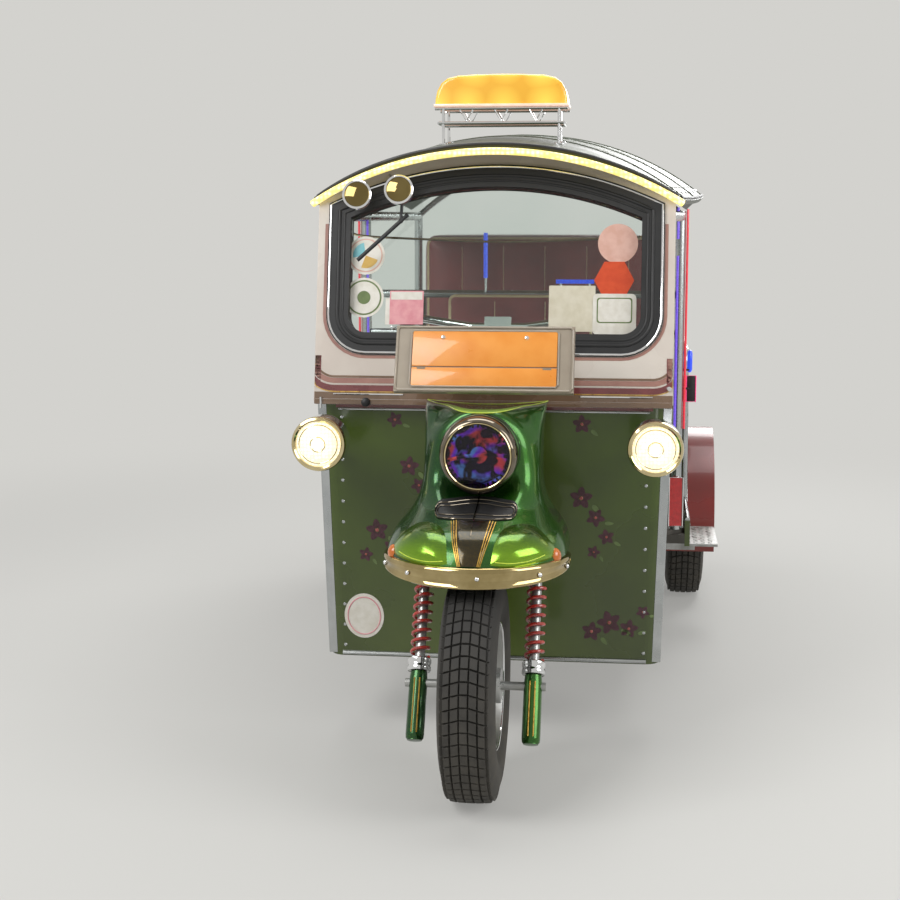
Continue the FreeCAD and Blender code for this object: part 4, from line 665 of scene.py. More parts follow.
# Keel between the domes, darkened by painted shade in the valley between them and browner low down, with two
# pairs of gold lines.
KEEL_ROWS = [(0.664, 0.0480), (0.648, 0.0430), (0.630, 0.0375), (0.606, 0.0300), (0.583, 0.0235)]
keel = bmesh.new()
bmesh.ops.create_grid(keel, x_segments=20, y_segments=24, size=0.5)
for vert in keel.verts:
    height, half = smooth_row(KEEL_ROWS, (0.5 - vert.co.y) * (len(KEEL_ROWS) - 1))
    across = vert.co.x * 2
    vert.co = on_cowl(across * half, height, 0.0008 + 0.0042 * (1 - across ** 4))[0]
turn_faces(keel, -Y)
bmesh.ops.solidify(keel, geom=keel.faces, thickness=0.0016)
put(keel, "nose_keel", candy_keel_painted_shade, "steering", sharp=60)
lines = bmesh.new()
for share, lift in ((1.05, 0.0012), (0.92, 0.0030), (0.79, 0.0044)):
    for sign in SIDES:
        stripe_on_cowl(lines, [(sign * half * share, height) for height, half in KEEL_ROWS], 0.0018, lift)
put(lines, "nose_pinstripes", gold_stripe, "steering")

# Oval vent below the lamp: two thin bright rings round a recess whose shade is painted as a black sheet, with
# a stem down the middle.
VENT_MIDDLE, VENT_RISE, VENT_HALF = 0.6795, 0.0085, 0.0890


def oval(grow, count=12):
    """Points of the vent's outline by x and height, rounded at both ends."""
    radius = VENT_RISE + grow
    reach = VENT_HALF + grow - radius
    right = [(reach + radius * math.cos(a), VENT_MIDDLE + radius * math.sin(a))
             for a in (math.pi * (i / count - 0.5) for i in range(count + 1))]
    top = [(reach * (1 - 2 * i / 16), VENT_MIDDLE + radius) for i in range(1, 16)]
    return right + top + [(-x, 2 * VENT_MIDDLE - z) for x, z in right + top]


vent = bmesh.new()
for grow, radius in ((0.0040, 0.0015), (-0.0015, 0.0011)):
    tube(vent, [on_cowl(x, z, 0.003)[0] for x, z in oval(grow)], radius, 8, closed=True)
tube(vent, [on_cowl(0, 0.640 + 0.008 * i, 0.0045)[0] for i in range(8)], 0.0018, 8)
put(vent, "nose_vent_rings", chrome_painted_dark_reflection, "steering")
# Painted shade: a black sheet over the cowl stands for the dark recess and the dark zone round it.
recess = bmesh.new()
RECESS_HALF, RECESS_RISE = VENT_HALF + 0.006, 0.0165
bmesh.ops.create_grid(recess, x_segments=56, y_segments=8, size=0.5)
for vert in recess.verts:
    across = vert.co.x * 2 * RECESS_HALF
    beyond = max(abs(across) - RECESS_HALF + RECESS_RISE, 0.0) / RECESS_RISE
    rise = RECESS_RISE * max(math.sqrt(max(1 - beyond ** 2, 0.0)), 0.06)
    vert.co = on_cowl(across, VENT_MIDDLE + 0.003 + vert.co.y * 2 * rise, 0.0012)[0]
turn_faces(recess, -Y)
bmesh.ops.solidify(recess, geom=recess.faces, thickness=0.0010)
put(recess, "nose_vent_painted_shade", black_rubber, "steering")

# Headlight: a rubber gasket, a deep chrome rim, and glass over a reflector and bulb shield with painted
# reflections.
spun("headlight_gasket", black_rubber, "steering",
     [(0.0895, -0.046), (0.0940, -0.046), (0.0944, -0.037), (0.0930, -0.032), (0.0895, -0.032)],
     [LAMP_PLACE], 72, ring=True)
spun("headlight_bezel", chrome_painted_dark_reflection, "steering",
     [(0.0895, -0.038), (0.0915, -0.038), (0.0930, -0.030), (0.0934, -0.018), (0.0925, -0.004),
      (0.0902, 0.008), (0.0866, 0.0165), (0.0830, 0.0210), (0.0800, 0.0222), (0.0783, 0.0200),
      (0.0783, 0.0120), (0.0850, 0.0040), (0.0880, -0.010), (0.0880, -0.036)],
     [LAMP_PLACE], 96, ring=True, replaces=["headlight_rim"])
spun("headlight_bead", brass_chrome, "steering",
     [(0.0745, 0.0190), (0.0748, 0.0215), (0.0765, 0.0228), (0.0785, 0.0212), (0.0782, 0.0160)],
     [LAMP_PLACE], 96, ring=True)
spun("headlight_glass", smoked_glass, "steering",
     [(0.0, 0.0300), (0.02, 0.0292), (0.04, 0.0270), (0.06, 0.0232), (0.0785, 0.0175), (0.0785, 0.0145),
      (0.06, 0.0202), (0.04, 0.0240), (0.02, 0.0262), (0.0, 0.0270)],
     [LAMP_PLACE], 72, replaces=["headlight_lens"])
spun("headlight_reflector", bowl_painted_reflections, "steering",
     [(0.0790, 0.010), (0.076, 0.004), (0.060, -0.018), (0.040, -0.032), (0.018, -0.038), (0.0, -0.039),
      (0.0, -0.042), (0.020, -0.041), (0.044, -0.035), (0.064, -0.020), (0.0800, 0.004)], [LAMP_PLACE], 64)
FACETS, FACET_TILT = 36, 0.7
facets = bmesh.new()
for i in range(FACETS):
    place = LAMP_PLACE @ Matrix.Rotation(2 * math.pi * i / FACETS, 4, "Z")
    place = place @ Matrix.Translation((0.0705, 0, 0.0085)) @ Matrix.Rotation(FACET_TILT, 4, "X")
    block(facets, (0.009, 0.0035, 0.004), place)
put(facets, "headlight_facets", chrome_painted_dark_reflection, "steering")
spun("headlight_bulb_shield", bowl_painted_reflections, "steering",
     [(0.0, 0.012), (0.012, 0.010), (0.018, 0.004), (0.020, -0.006), (0.010, -0.034), (0.0, -0.036)],
     [LAMP_PLACE], 40)
BULB_BAR = [(-0.070, 0.0, -0.012), (-0.030, -0.012, 0.000), (0.030, -0.012, 0.004), (0.070, 0.0, -0.002)]
rods("headlight_bulb_bar", bar_painted_reflections, "steering", [[LAMP + Vector(spot) for spot in BULB_BAR]],
     0.0042)

# Lip: chrome with painted warm reflections round the mudguard's edge, deep in front and thin at its tips.
LIP_TURN, LIP_STEPS = 0.80, 60
# A bead above, a cove and a bead below, by reach outwards and height.
LIP_SECTION = [(-0.003, 0.0080), (0.0035, 0.0068), (0.0072, 0.0035), (0.0088, -0.0015), (0.0080, -0.0075),
               (0.0055, -0.0135), (0.0036, -0.0200), (0.0034, -0.0260), (0.0048, -0.0315), (0.0074, -0.0352),
               (0.0072, -0.0390), (0.0040, -0.0412), (0.0005, -0.0395), (0.0005, -0.0200), (-0.003, 0.0)]


def lip_place(turn):
    """A place on the cowl's lower edge, with X outwards, Y up and Z back along the edge."""
    spot = cowl_point(0.0, turn)
    ahead = (cowl_point(0.0, turn + 0.01) - spot).normalized()
    return Matrix.Translation(spot) @ Matrix((ahead.cross(Z), Z, -ahead)).transposed().to_4x4()


lip = bmesh.new()
turns = [LIP_TURN * (2 * i / LIP_STEPS - 1) for i in range(LIP_STEPS + 1)]
places = [lip_place(turn) for turn in turns]
sweep(lip, places, LIP_SECTION)
rows = [[vert for vert in lip.verts if (place.inverted() @ vert.co).z ** 2 < 1e-9] for place in places]
for turn, place, row in zip(turns, places, rows):
    deep = math.cos(turn / LIP_TURN * math.pi / 2)
    for vert in row:
        local = place.inverted() @ vert.co
        local.y *= 0.42 + 0.58 * deep ** 0.8 if local.y < 0 else 1.0
        vert.co = place @ local
put(lip, "nose_lip", chrome_painted_warm_reflection, "steering", ["nose_trim"])
places = []
for turn in (-0.66, -0.36, 0.045, 0.40, 0.68):
    edge = lip_place(turn)
    outward = edge.to_3x3().col[0].normalized()
    places.append(facing(edge.translation + outward * 0.0062 - Z * 0.016, outward))
spun("lip_rivets", bright_chrome, "steering",
     [(0.0, 0.0045), (0.003, 0.004), (0.0052, 0.002), (0.0058, 0.0), (0.0, 0.0)], places, 16)
spun("nose_end_markers", amber_lens, "steering",
     [(0.0, 0.0095), (0.006, 0.0088), (0.0125, 0.0060), (0.0165, 0.0010), (0.0165, 0.0), (0.0, 0.0)],
     [facing(*on_cowl(sign * 0.188, 0.5905, -0.001)) for sign in SIDES], 28)

# Number plate: blank two-part plate in its frame, with a raised border and two bolts.
PLATE_HALF, PLATE_LOW, PLATE_HIGH = 0.176, 0.014, 0.152
DIVIDE = 0.062
board = bmesh.new()
for low, high in ((PLATE_LOW, DIVIDE - 0.0015), (DIVIDE + 0.0015, PLATE_HIGH)):
    block(board, (2 * PLATE_HALF - 0.006, 0.004, high - low),
          PLATE @ Matrix.Translation((0, -0.001, (low + high) / 2)), 0.0012)
put(board, "plate_board", plate_sheeting, "chassis")
surround = bmesh.new()
for low, high, half, radius, lift in ((PLATE_LOW - 0.001, PLATE_HIGH + 0.001, PLATE_HALF, 0.0022, -0.002),
                                      (0.004, 0.162, 0.210, 0.0030, -0.001)):
    corners = [Vector((x, lift, z)) for x, z in ((half, low), (half, high), (-half, high), (-half, low))]
    path = []
    for i, corner in enumerate(corners):
        for other in (corners[i - 1], corners[(i + 1) % 4]):
            path.append(corner + (other - corner).normalized() * 0.006)
    tube(surround, [PLATE @ p for p in path], radius, 8, closed=True)
put(surround, "plate_beads", beige_enamel, "chassis")
BOLT_HEAD = [(0.0, 0.0045), (0.004, 0.0035), (0.006, 0.0), (0.0, 0.0)]
spun("plate_bolts", bright_chrome, "chassis", BOLT_HEAD,
     [PLATE @ Matrix.Translation((x, -0.003, 0.136)) @ FORWARD for x in (-0.10, 0.10)], 12)


# Windscreen: chrome and brass beads in the rubber, painted lines on the frame, stickers on the glass.
WINDOW_HALF, WINDOW_SHOULDER, WINDOW_TOP, WINDOW_FOOT, WINDOW_CORNER = 0.405, 1.368, 1.458, 1.020, 0.084


def up_slope(height, ahead=0.0):
    """The distance up the leaning windscreen to a height."""
    return (height - SCREEN.translation.z - ahead * math.sin(SCREEN_LEAN)) / math.cos(SCREEN_LEAN)


def window_path(grow, depth):
    """The window's outline, grown all round, at a depth behind the frame's face."""
    high = up_slope(WINDOW_TOP)
    rise = high - up_slope(WINDOW_SHOULDER)
    radius = (WINDOW_HALF ** 2 + rise ** 2) / (2 * rise)
    centre = high - radius
    radius += grow
    half, low, corner = WINDOW_HALF + grow, up_slope(WINDOW_FOOT) - grow, WINDOW_CORNER + grow
    top_angle = math.degrees(math.asin(half / radius))
    path = arc_points(Vector((half - corner, 0, low + corner)), corner, -90, 0, 10, X, Z)
    path += arc_points(Vector((0, 0, centre)), radius, 90 - top_angle, 90 + top_angle, 40, X, Z)
    path += arc_points(Vector((-half + corner, 0, low + corner)), corner, 180, 270, 10, X, Z)
    return [SCREEN @ (p + Y * depth) for p in path]


for name, finish, grow, depth, radius in (("screen_chrome_bead", bright_chrome, 0.0125, -0.0058, 0.0030),
                                          ("screen_brass_bead", brass_chrome, -0.034, 0.0010, 0.0022)):
    rods(name, finish, "chassis", [window_path(grow, depth)], radius, 10, True)
lips = bmesh.new()
for grow, radius in ((-0.010, 0.0050), (-0.023, 0.0035)):
    tube(lips, window_path(grow, -0.0040), radius, 10, closed=True)
put(lips, "screen_rubber_lips", black_rubber, "chassis")


def line_on_screen(bm, points, width):
    """A painted line on the frame's face through points given across and up the slope."""
    ribbon(bm, [SCREEN @ Vector((a, -0.0004, b)) for a, b in points], SCREEN.to_3x3() @ Y, width, 0.001)


def window_line(grow):
    """The lower part of the window's outline by x and distance up the slope, with ends that rise straight."""
    local = [SCREEN.inverted() @ p for p in window_path(grow, 0.0)]
    run = [(p.x, p.z) for p in local[:10]]
    other = [(p.x, p.z) for p in local[50:]]
    return [(run[-1][0], 0.46)] + run[::-1] + other[::-1] + [(other[0][0], 0.46)]


ring_line = bmesh.new()
line_on_screen(ring_line, window_line(0.0235), 0.008)
put(ring_line, "screen_ring_line", rose_stripe, "chassis")
SKIRT_HALF, SKIRT_RADIUS, SKIRT_TOP = 0.4485, 0.050, up_slope(0.9505)


def skirt(name, finish, height, width):
    """A painted stripe along the frame's lower edge that turns up round both corners."""
    level = up_slope(height)
    radius = SKIRT_RADIUS + SKIRT_TOP - level
    right = []
    for i in range(13):
        a = math.radians(-90 + 7.5 * i)
        right.append((min(SKIRT_HALF - SKIRT_RADIUS + radius * math.cos(a), SKIRT_HALF - width / 2),
                      SKIRT_TOP + SKIRT_RADIUS + radius * math.sin(a)))
    bm = bmesh.new()
    line_on_screen(bm, [(-x, z) for x, z in right[::-1]] + right, width)
    put(bm, name, finish, "chassis")


# Name, finish, height, width.
for name, finish, height, width in (
        ("skirt_grey", bronze_enamel, 0.9475, 0.0055), ("skirt_rose", rose_stripe, 0.9375, 0.0130),
        ("skirt_pale", cream_enamel, 0.9290, 0.0022), ("skirt_maroon", maroon_enamel, 0.9190, 0.0150),
        ("skirt_gold", gold_stripe, 0.9102, 0.0020)):
    skirt(name, finish, height, width)
# Brown band low on the frame: partly the frame's own paint, partly painted shadow under the number plate.
band = bmesh.new()
plate_from(band, [(-0.4485, 0.001), (0.4485, 0.001), (0.4485, up_slope(0.9092)), (-0.4485, up_slope(0.9092))],
           SCREEN @ Matrix.Translation((0, -0.0002, 0)), -0.0006)
block(band, (0.891, 0.0012, 0.0132), Matrix.Translation((0, -0.8686, 0.8853)), 0.0003)
put(band, "belt_band_and_painted_shadow", bronze_enamel, "chassis")
trim = bmesh.new()
for sign in SIDES:
    tube(trim, [SCREEN @ Vector((sign * x, -0.0018, up_slope(0.9045))) for x in (0.222, 0.30, 0.40)],
         0.0022, 8)
tube(trim, [Vector((-0.4315, -0.8715, z)) for z in (0.868, 0.883, 0.897)], 0.0028, 8)
turned(trim, [(0.0, 0.007), (0.005, 0.006), (0.007, 0.002), (0.007, 0.0), (0.0, 0.0)],
       SCREEN @ Matrix.Translation((0.4400, -0.0005, up_slope(0.926))) @ FORWARD, 20)
put(trim, "belt_chrome_trim", bright_chrome, "chassis")
spun("belt_knob", black_rubber, "chassis",
     [(0.0, 0.012), (0.006, 0.0115), (0.0105, 0.008), (0.0115, 0.002), (0.0115, 0.0), (0.0, 0.0)],
     [facing(Vector((-0.3166, -0.8690, 0.8845)), -Y)], 28)


def outline_of(kind, across, upward):
    """Corners of a sticker's outline."""
    if kind == "round":
        return [(across * math.cos(2 * math.pi * i / 40), across * math.sin(2 * math.pi * i / 40))
                for i in range(40)]
    if kind == "hexagon":
        return [(across * math.cos(math.pi * i / 3), upward * math.sin(math.pi * i / 3) / 0.866)
                for i in range(6)]
    corner = min(across, upward) * (0.22 if kind == "rounded" else 0.04)
    return rounded_loop(across, upward, corner, 3)


# Stickers: name, outline, x, height up the slope, half width, half height, finish, layer.
GLASS_FACE = 0.0196
STICKERS = [
    ("round_one", "round", -0.330, 0.383, 0.049, 0.049, sticker_white, 0),
    ("round_one_ring", "round", -0.330, 0.383, 0.043, 0.043, sticker_blush, 1),
    ("round_one_face", "round", -0.330, 0.383, 0.040, 0.040, sticker_white, 2),
    ("round_two", "round", -0.332, 0.275, 0.051, 0.051, sticker_white, 0),
    ("round_two_ring", "round", -0.332, 0.275, 0.045, 0.045, sticker_olive, 1),
    ("round_two_face", "round", -0.332, 0.275, 0.041, 0.041, sticker_white, 2),
    ("round_two_middle", "round", -0.332, 0.275, 0.017, 0.017, sticker_olive, 3),
    ("small_tag", "square", -0.262, 0.240, 0.014, 0.034, sticker_white, 0),
    ("pink_tag", "square", -0.222, 0.250, 0.043, 0.043, sticker_pink, 1),
    ("pink_tag_head", "square", -0.222, 0.280, 0.040, 0.010, sticker_white, 2),
    ("round_three", "round", 0.308, 0.415, 0.050, 0.050, sticker_blush, 0),
    ("hexagon_tag", "hexagon", 0.300, 0.322, 0.050, 0.047, sticker_orange, 1),
    ("square_tag", "rounded", 0.302, 0.236, 0.054, 0.052, sticker_white, 2),
    ("square_tag_face", "rounded", 0.302, 0.246, 0.044, 0.032, sticker_olive, 3),
    ("square_tag_inner", "rounded", 0.302, 0.246, 0.041, 0.029, sticker_white, 4),
    ("paper_sheet", "square", 0.196, 0.250, 0.058, 0.058, paper, 0),
]
for name, kind, x, height, across, upward, finish, layer in STICKERS:
    bm = bmesh.new()
    plate_from(bm, outline_of(kind, across, upward),
               SCREEN @ Matrix.Translation((x, GLASS_FACE - 0.0004 * layer, height)), -0.0003)
    put(bm, "sticker_" + name, finish, "chassis")
for name, finish, start in (("cyan", sticker_cyan, 100), ("gold", sticker_gold, 250)):
    bm = bmesh.new()
    turns = [math.radians(start + a) for a in range(0, 100, 10)]
    fan = [(0.0, 0.0)] + [(0.033 * math.cos(a), 0.033 * math.sin(a)) for a in turns]
    plate_from(bm, fan, SCREEN @ Matrix.Translation((-0.330, GLASS_FACE - 0.0012, 0.383)), -0.0003)
    put(bm, "sticker_sector_" + name, finish, "chassis")


# Tyres: a carcass with sidewall rings and a tread of raised blocks.
TYRE_SIDE = [(0.153, 0.045), (0.154, 0.050), (0.166, 0.0535), (0.172, 0.0585), (0.186, 0.0635),
             (0.205, 0.0655), (0.225, 0.0635), (0.243, 0.0580), (0.255, 0.0510), (0.2605, 0.0470)]
TYRE_TOP = [(0.2625, -0.030), (0.2635, -0.010), (0.2635, 0.010), (0.2625, 0.030)]
TYRE_BORE = [(0.170, 0.038), (0.170, -0.038)]
TREAD_RADIUS, TREAD_HALF, TREAD_SWING = 0.2540, 0.0520, 0.052


def tyre(name, centre, body):
    """A tyre about a wheel's middle, with its tread blocks swung slightly round the axle at the shoulders."""
    bm = bmesh.new()
    place = facing(centre, X)
    turned(bm, [(r, -h) for r, h in TYRE_SIDE] + TYRE_TOP + TYRE_SIDE[::-1] + TYRE_BORE, place, 60, ring=True)
    inverse = place.inverted()
    bmesh.ops.recalc_face_normals(bm, faces=bm.faces)
    tread = []
    for face in bm.faces:
        spot = inverse @ face.calc_center_median()
        if math.hypot(spot.x, spot.y) > TREAD_RADIUS and abs(spot.z) < TREAD_HALF:
            tread.append(face)
    for vert in {v for face in tread for v in face.verts}:
        spot = inverse @ vert.co
        vert.co = place @ (Matrix.Rotation(TREAD_SWING * abs(spot.z) / 0.047, 4, "Z") @ spot)
    bmesh.ops.inset_individual(bm, faces=tread, thickness=0.0022, depth=0.0064, use_even_offset=True)
    put(bm, name + "_tread", tyre_rubber, body, [name], sharp=30)


WHEELS = [("front", FRONT_AXLE, "front_wheel", SIDES), ("rear_left", REAR_AXLE, "rear_wheel_left", (1,)),
          ("rear_right", Vector((-REAR_AXLE.x, REAR_AXLE.y, REAR_AXLE.z)), "rear_wheel_right", (-1,))]
NUT = [(0.0, 0.016), (0.004, 0.016), (0.0085, 0.012), (0.0095, 0.0), (0.0, 0.0)]
HUB_CAP = [(0.0, 0.070), (0.014, 0.069), (0.026, 0.064), (0.033, 0.056), (0.034, 0.0455), (0.022, 0.0455),
           (0.022, 0.058), (0.0, 0.060)]
for wheel, centre, body, faces in WHEELS:
    tyre(wheel + "_tyre", centre, body)
    bm = bmesh.new()
    for sign in faces:
        for i in range(5):
            angle = 2 * math.pi * i / 5
            spot = Vector((0.058 * math.cos(angle), 0.058 * math.sin(angle), 0.008))
            spot = facing(centre, X * sign) @ spot
            turned(bm, NUT, facing(spot, X * sign), 6)
        tube(bm, arc_points(centre + X * sign * 0.053, 0.148, 0, 354, 60, Y, Z), 0.0028, 8, closed=True)
    put(bm, wheel + "_wheel_nuts", bright_chrome, body)
    if faces != SIDES:
        spun(wheel + "_hub_cap", bright_chrome, body, HUB_CAP, [facing(centre, X * faces[0])], 40)

# Fork: green lower legs with a gold stripe, chrome collars, black spring tops and red coils.
LEG_X, LEG_Y, DROP = 0.134, -0.0987, -0.669


def at_leg(sign, height, x=0.0, y=0.0):
    """A place on a fork leg, at a height along the stem."""
    return STEERED @ Matrix.Translation((sign * LEG_X + x, LEG_Y + y, height))


sleeves = bmesh.new()
for sign in SIDES:
    turned(sleeves, [(0.0172, 0.0), (0.0205, 0.004), (0.0215, 0.012), (0.0215, 0.140), (0.0195, 0.160),
                     (0.0172, 0.162)], at_leg(sign, DROP - 0.134), 32, ring=True)
    turned(sleeves, [(0.0, -0.0015), (0.012, -0.001), (0.0172, 0.0), (0.0172, 0.004), (0.0, 0.004)],
           at_leg(sign, DROP - 0.1352), 32)
put(sleeves, "fork_leg_sleeves", candy_green_painted_highlight, "steering")
rods("fork_leg_stripes", gold_stripe, "steering",
     [[at_leg(sign, DROP - 0.120 + 0.016 * i, shift, -0.0208).translation for i in range(9)]
      for sign in SIDES for shift in (-0.006, 0.006)], 0.0017, 6)
spun("fork_collars", bright_chrome, "steering",
     [(0.0255, 0.0), (0.0275, 0.003), (0.0275, 0.010), (0.0262, 0.012), (0.0262, 0.018), (0.0275, 0.020),
      (0.0275, 0.028), (0.0255, 0.0305)], [at_leg(sign, DROP + 0.0275) for sign in SIDES], 36, ring=True)
spun("fork_spring_caps", black_rubber, "steering",
     [(0.0125, 0.0), (0.0290, 0.0), (0.0300, 0.004), (0.0290, 0.030), (0.0200, 0.040), (0.0125, 0.040)],
     [at_leg(sign, DROP + 0.318) for sign in SIDES], 36, ring=True)
coils = bmesh.new()
COIL_TURNS, COIL_STEPS, COIL_RADIUS = 12, 16, 0.0205
for sign in SIDES:
    path = []
    for i in range(COIL_TURNS * COIL_STEPS + 1):
        angle = 2 * math.pi * i / COIL_STEPS
        path.append(at_leg(sign, DROP + 0.0625 + 0.262 * i / (COIL_TURNS * COIL_STEPS),
                           COIL_RADIUS * math.cos(angle), COIL_RADIUS * math.sin(angle)).translation)
    tube(coils, path, 0.0040, 8)
put(coils, "fork_coil_springs", red_spring_paint, "steering", ["fork_springs"])

# Front panel: corner strips, belt strips, foot rail, rivets and painted blossoms.
panel_skin = node_skin("front_panel")


def on_panel(x, z, lift=0.0):
    """A point on the front panel, a little proud of it."""
    return touch(panel_skin, (x, -2.0, z), Y)[0] - Y * lift


STRIP_SECTION = [(-0.010, -0.0045), (0.010, -0.0045), (0.012, 0.0), (0.010, 0.0025), (-0.010, 0.0025),
                 (-0.012, 0.0)]
strips = bmesh.new()
for sign in SIDES:
    path = [Vector((sign * (0.4205 + 0.018 * i / 20), -0.7830 - 0.030 * i / 20, 0.212 + 0.660 * i / 20))
            for i in range(21)]
    sweep(strips, frames_along(path, level=Y), STRIP_SECTION)
for z, radius, inner in ((0.862, 0.0035, 0.090), (0.214, 0.006, 0.0)):
    for sign in SIDES:
        path = [on_panel(sign * (inner + (0.395 - inner) * i / 12), z, 0.001) for i in range(13)]
        tube(strips, path, radius, 8)
put(strips, "panel_steel_strips", stainless_tube, "chassis")
band = bmesh.new()
for sign in SIDES:
    path = [on_panel(sign * (0.095 + 0.307 * i / 12), 0.8712, 0.0003) for i in range(13)]
    ribbon(band, path, Y, 0.0124, 0.001)
put(band, "panel_top_band", maroon_enamel, "chassis")
RIVET_HEAD = [(0.0, 0.0022), (0.003, 0.0018), (0.0048, 0.0), (0.0, 0.0)]
RIVETS_Z = [0.235 + 0.055 * i for i in range(12)]
spun("panel_rivets", stainless_tube, "chassis", RIVET_HEAD,
     [facing(on_panel(sign * 0.388, z, -0.0003), -Y) for sign in SIDES for z in RIVETS_Z], 10)
petals, hearts, leaves = bmesh.new(), bmesh.new(), bmesh.new()


def petal(bm, x, z, angle, length, width):
    """One painted petal on the panel."""
    tip = []
    for i in range(14):
        t = 2 * math.pi * i / 14
        a, b = length * (0.55 + 0.5 * math.cos(t)), width * math.sin(t) * (1.1 - 0.35 * math.cos(t))
        across, rise = a * math.cos(angle) - b * math.sin(angle), a * math.sin(angle) + b * math.cos(angle)
        tip.append(on_panel(x + across, z + rise, 0.0002))
    thicken(bm, tip, -Y * 0.0004)


def badge_ring(half_wide, half_high, lift):
    """Points of an oval about the round sticker's middle on the panel."""
    turns = [2 * math.pi * i / 40 for i in range(40)]
    return [on_panel(-0.337 + half_wide * math.cos(a), 0.315 + half_high * math.sin(a), lift) for a in turns]


# Blossoms: x, height, size, turn in degrees.
BLOSSOMS = [(-0.215, 0.715, 0.030, 10), (-0.190, 0.665, 0.024, 50), (-0.300, 0.545, 0.034, 25),
            (-0.262, 0.500, 0.026, 70), (-0.330, 0.480, 0.022, 5), (-0.250, 0.835, 0.024, 40),
            (0.225, 0.640, 0.034, 15), (0.262, 0.590, 0.028, 60), (0.290, 0.540, 0.024, 30),
            (0.258, 0.500, 0.020, 0), (0.225, 0.830, 0.028, 20), (0.300, 0.315, 0.036, 35),
            (0.350, 0.300, 0.028, 80), (0.255, 0.290, 0.030, 10), (0.385, 0.345, 0.020, 55)]
for x, z, scale, turn in BLOSSOMS:
    for i in range(5):
        angle = math.radians(turn + 72 * i)
        petal(petals, x + 0.12 * scale * math.cos(angle), z + 0.12 * scale * math.sin(angle), angle,
              0.72 * scale, 0.24 * scale)
    petal(leaves, x + 0.8 * scale, z - 0.5 * scale, math.radians(turn - 60), 0.8 * scale, 0.16 * scale)
    turned(hearts, [(0.0, 0.0014), (0.10 * scale, 0.0012), (0.14 * scale, 0.0), (0.0, 0.0)],
           facing(on_panel(x, z, 0.0002), -Y), 12)
put(petals, "panel_blossoms", blossom_maroon, "chassis")
put(leaves, "panel_blossom_leaves", sticker_olive, "chassis")
put(hearts, "panel_blossom_hearts", pink_stripe, "chassis")
badge = bmesh.new()
thicken(badge, badge_ring(0.052, 0.060, 0.0008), -Y * 0.0005)
put(badge, "panel_round_sticker", sticker_white, "chassis")
rods("panel_round_sticker_ring", sticker_pink, "chassis", [badge_ring(0.043, 0.050, 0.0014)],
     0.0016, 6, True)

# Side lamps: rolled brass-tinted bezels and domed lenses with two rings and a bright spot in the middle.
SIDE_LAMPS = [facing(Vector((sign * SIDE_LAMP_X, SIDE_LAMP_Y, SIDE_LAMP_Z)), -Y) for sign in SIDES]
spun("side_lamp_bezels", brass_chrome, "chassis",
     [(0.0555, -0.002), (0.0560, 0.003), (0.0600, 0.006), (0.0650, 0.004), (0.0672, -0.003), (0.0668, -0.012),
      (0.0650, -0.014)], SIDE_LAMPS, 64, ring=True)
spun("side_lamp_lenses_domed", lit_lamp, "chassis",
     [(0.0, 0.009), (0.02, 0.008), (0.04, 0.004), (0.0555, -0.003), (0.0555, -0.012), (0.0, -0.012)],
     SIDE_LAMPS, 48, replaces=["side_lamp_lenses"])
rods("side_lamp_rings", brass_chrome, "chassis",
     [arc_points(place.translation - Y * ahead, radius, 0, 351, 40, X, Z) for place in SIDE_LAMPS
      for radius, ahead in ((0.0475, 0.0018), (0.018, 0.0084))], 0.0013, 6, True)
spun("side_lamp_bulbs", lit_bulb, "chassis",
     [(0.0, 0.0125), (0.006, 0.0120), (0.011, 0.0090), (0.013, 0.0070), (0.0, 0.0070)], SIDE_LAMPS, 32)

# Roof sign: a moulded box with a flat top and big round corners, on a base line with a painted glow.
SIGN_Y, SIGN_LOW = -0.555, 1.636
SIGN_SIDE = [(0.1720, 0.0), (0.1715, 0.012), (0.1665, 0.034), (0.1560, 0.053), (0.1390, 0.0660),
             (0.1100, 0.0725), (0.0550, 0.0750)]
outline = [(x, SIGN_LOW + z) for x, z in SIGN_SIDE] + [(0.0, SIGN_LOW + 0.0757)]
outline += [(-x, SIGN_LOW + z) for x, z in SIGN_SIDE[::-1]]
sign_box = bmesh.new()
plate_from(sign_box, outline, Matrix.Translation((0, SIGN_Y - 0.064, 0)), 0.128)
rims = [edge for edge in sign_box.edges if abs(edge.verts[0].co.y - edge.verts[1].co.y) < 1e-6
        and max(v.co.z for v in edge.verts) > SIGN_LOW + 0.001]
bmesh.ops.bevel(sign_box, geom=rims, offset=0.010, offset_type="OFFSET", segments=4, profile=0.5,
                affect="EDGES", material=-1)
put(sign_box, "roof_sign_box", lit_sign, "chassis", ["roof_sign"], sharp=50)
base = bmesh.new()
block(base, (0.350, 0.134, 0.0075), Matrix.Translation((0, SIGN_Y, 1.6322)), 0.002)
put(base, "sign_base_line", sign_base_painted_glow, "chassis")
rack = bmesh.new()
roof_skin = node_skin("roof_shell")
RACK_HIGH, RACK_LOW = 1.6240, 1.5870
RACK_FOOT = [(0.0, 0.004), (0.011, 0.003), (0.013, 0.0), (0.0, 0.0)]
for y in (SIGN_Y - 0.060, SIGN_Y + 0.060):
    tube(rack, [Vector((x, y, RACK_HIGH)) for x in (-0.172, 0, 0.172)], 0.0040, 8)
    tube(rack, [Vector((x, y, RACK_LOW)) for x in (-0.162, 0, 0.162)], 0.0045, 8)
    for x in (-0.150, 0.150):
        foot = touch(roof_skin, (x, y, 1.75), -Z)[0]
        tube(rack, [Vector((x, y, RACK_HIGH)), Vector((x, y, 1.58)), foot], 0.0040, 8)
        turned(rack, RACK_FOOT, facing(foot - Z * 0.0005, Z), 20)
    for x in (-0.090, 0.0, 0.090):
        brace = ((x - 0.017, 1.621), (x, 1.592), (x + 0.017, 1.621))
        tube(rack, [Vector((a, y, z)) for a, z in brace], 0.0022, 6)
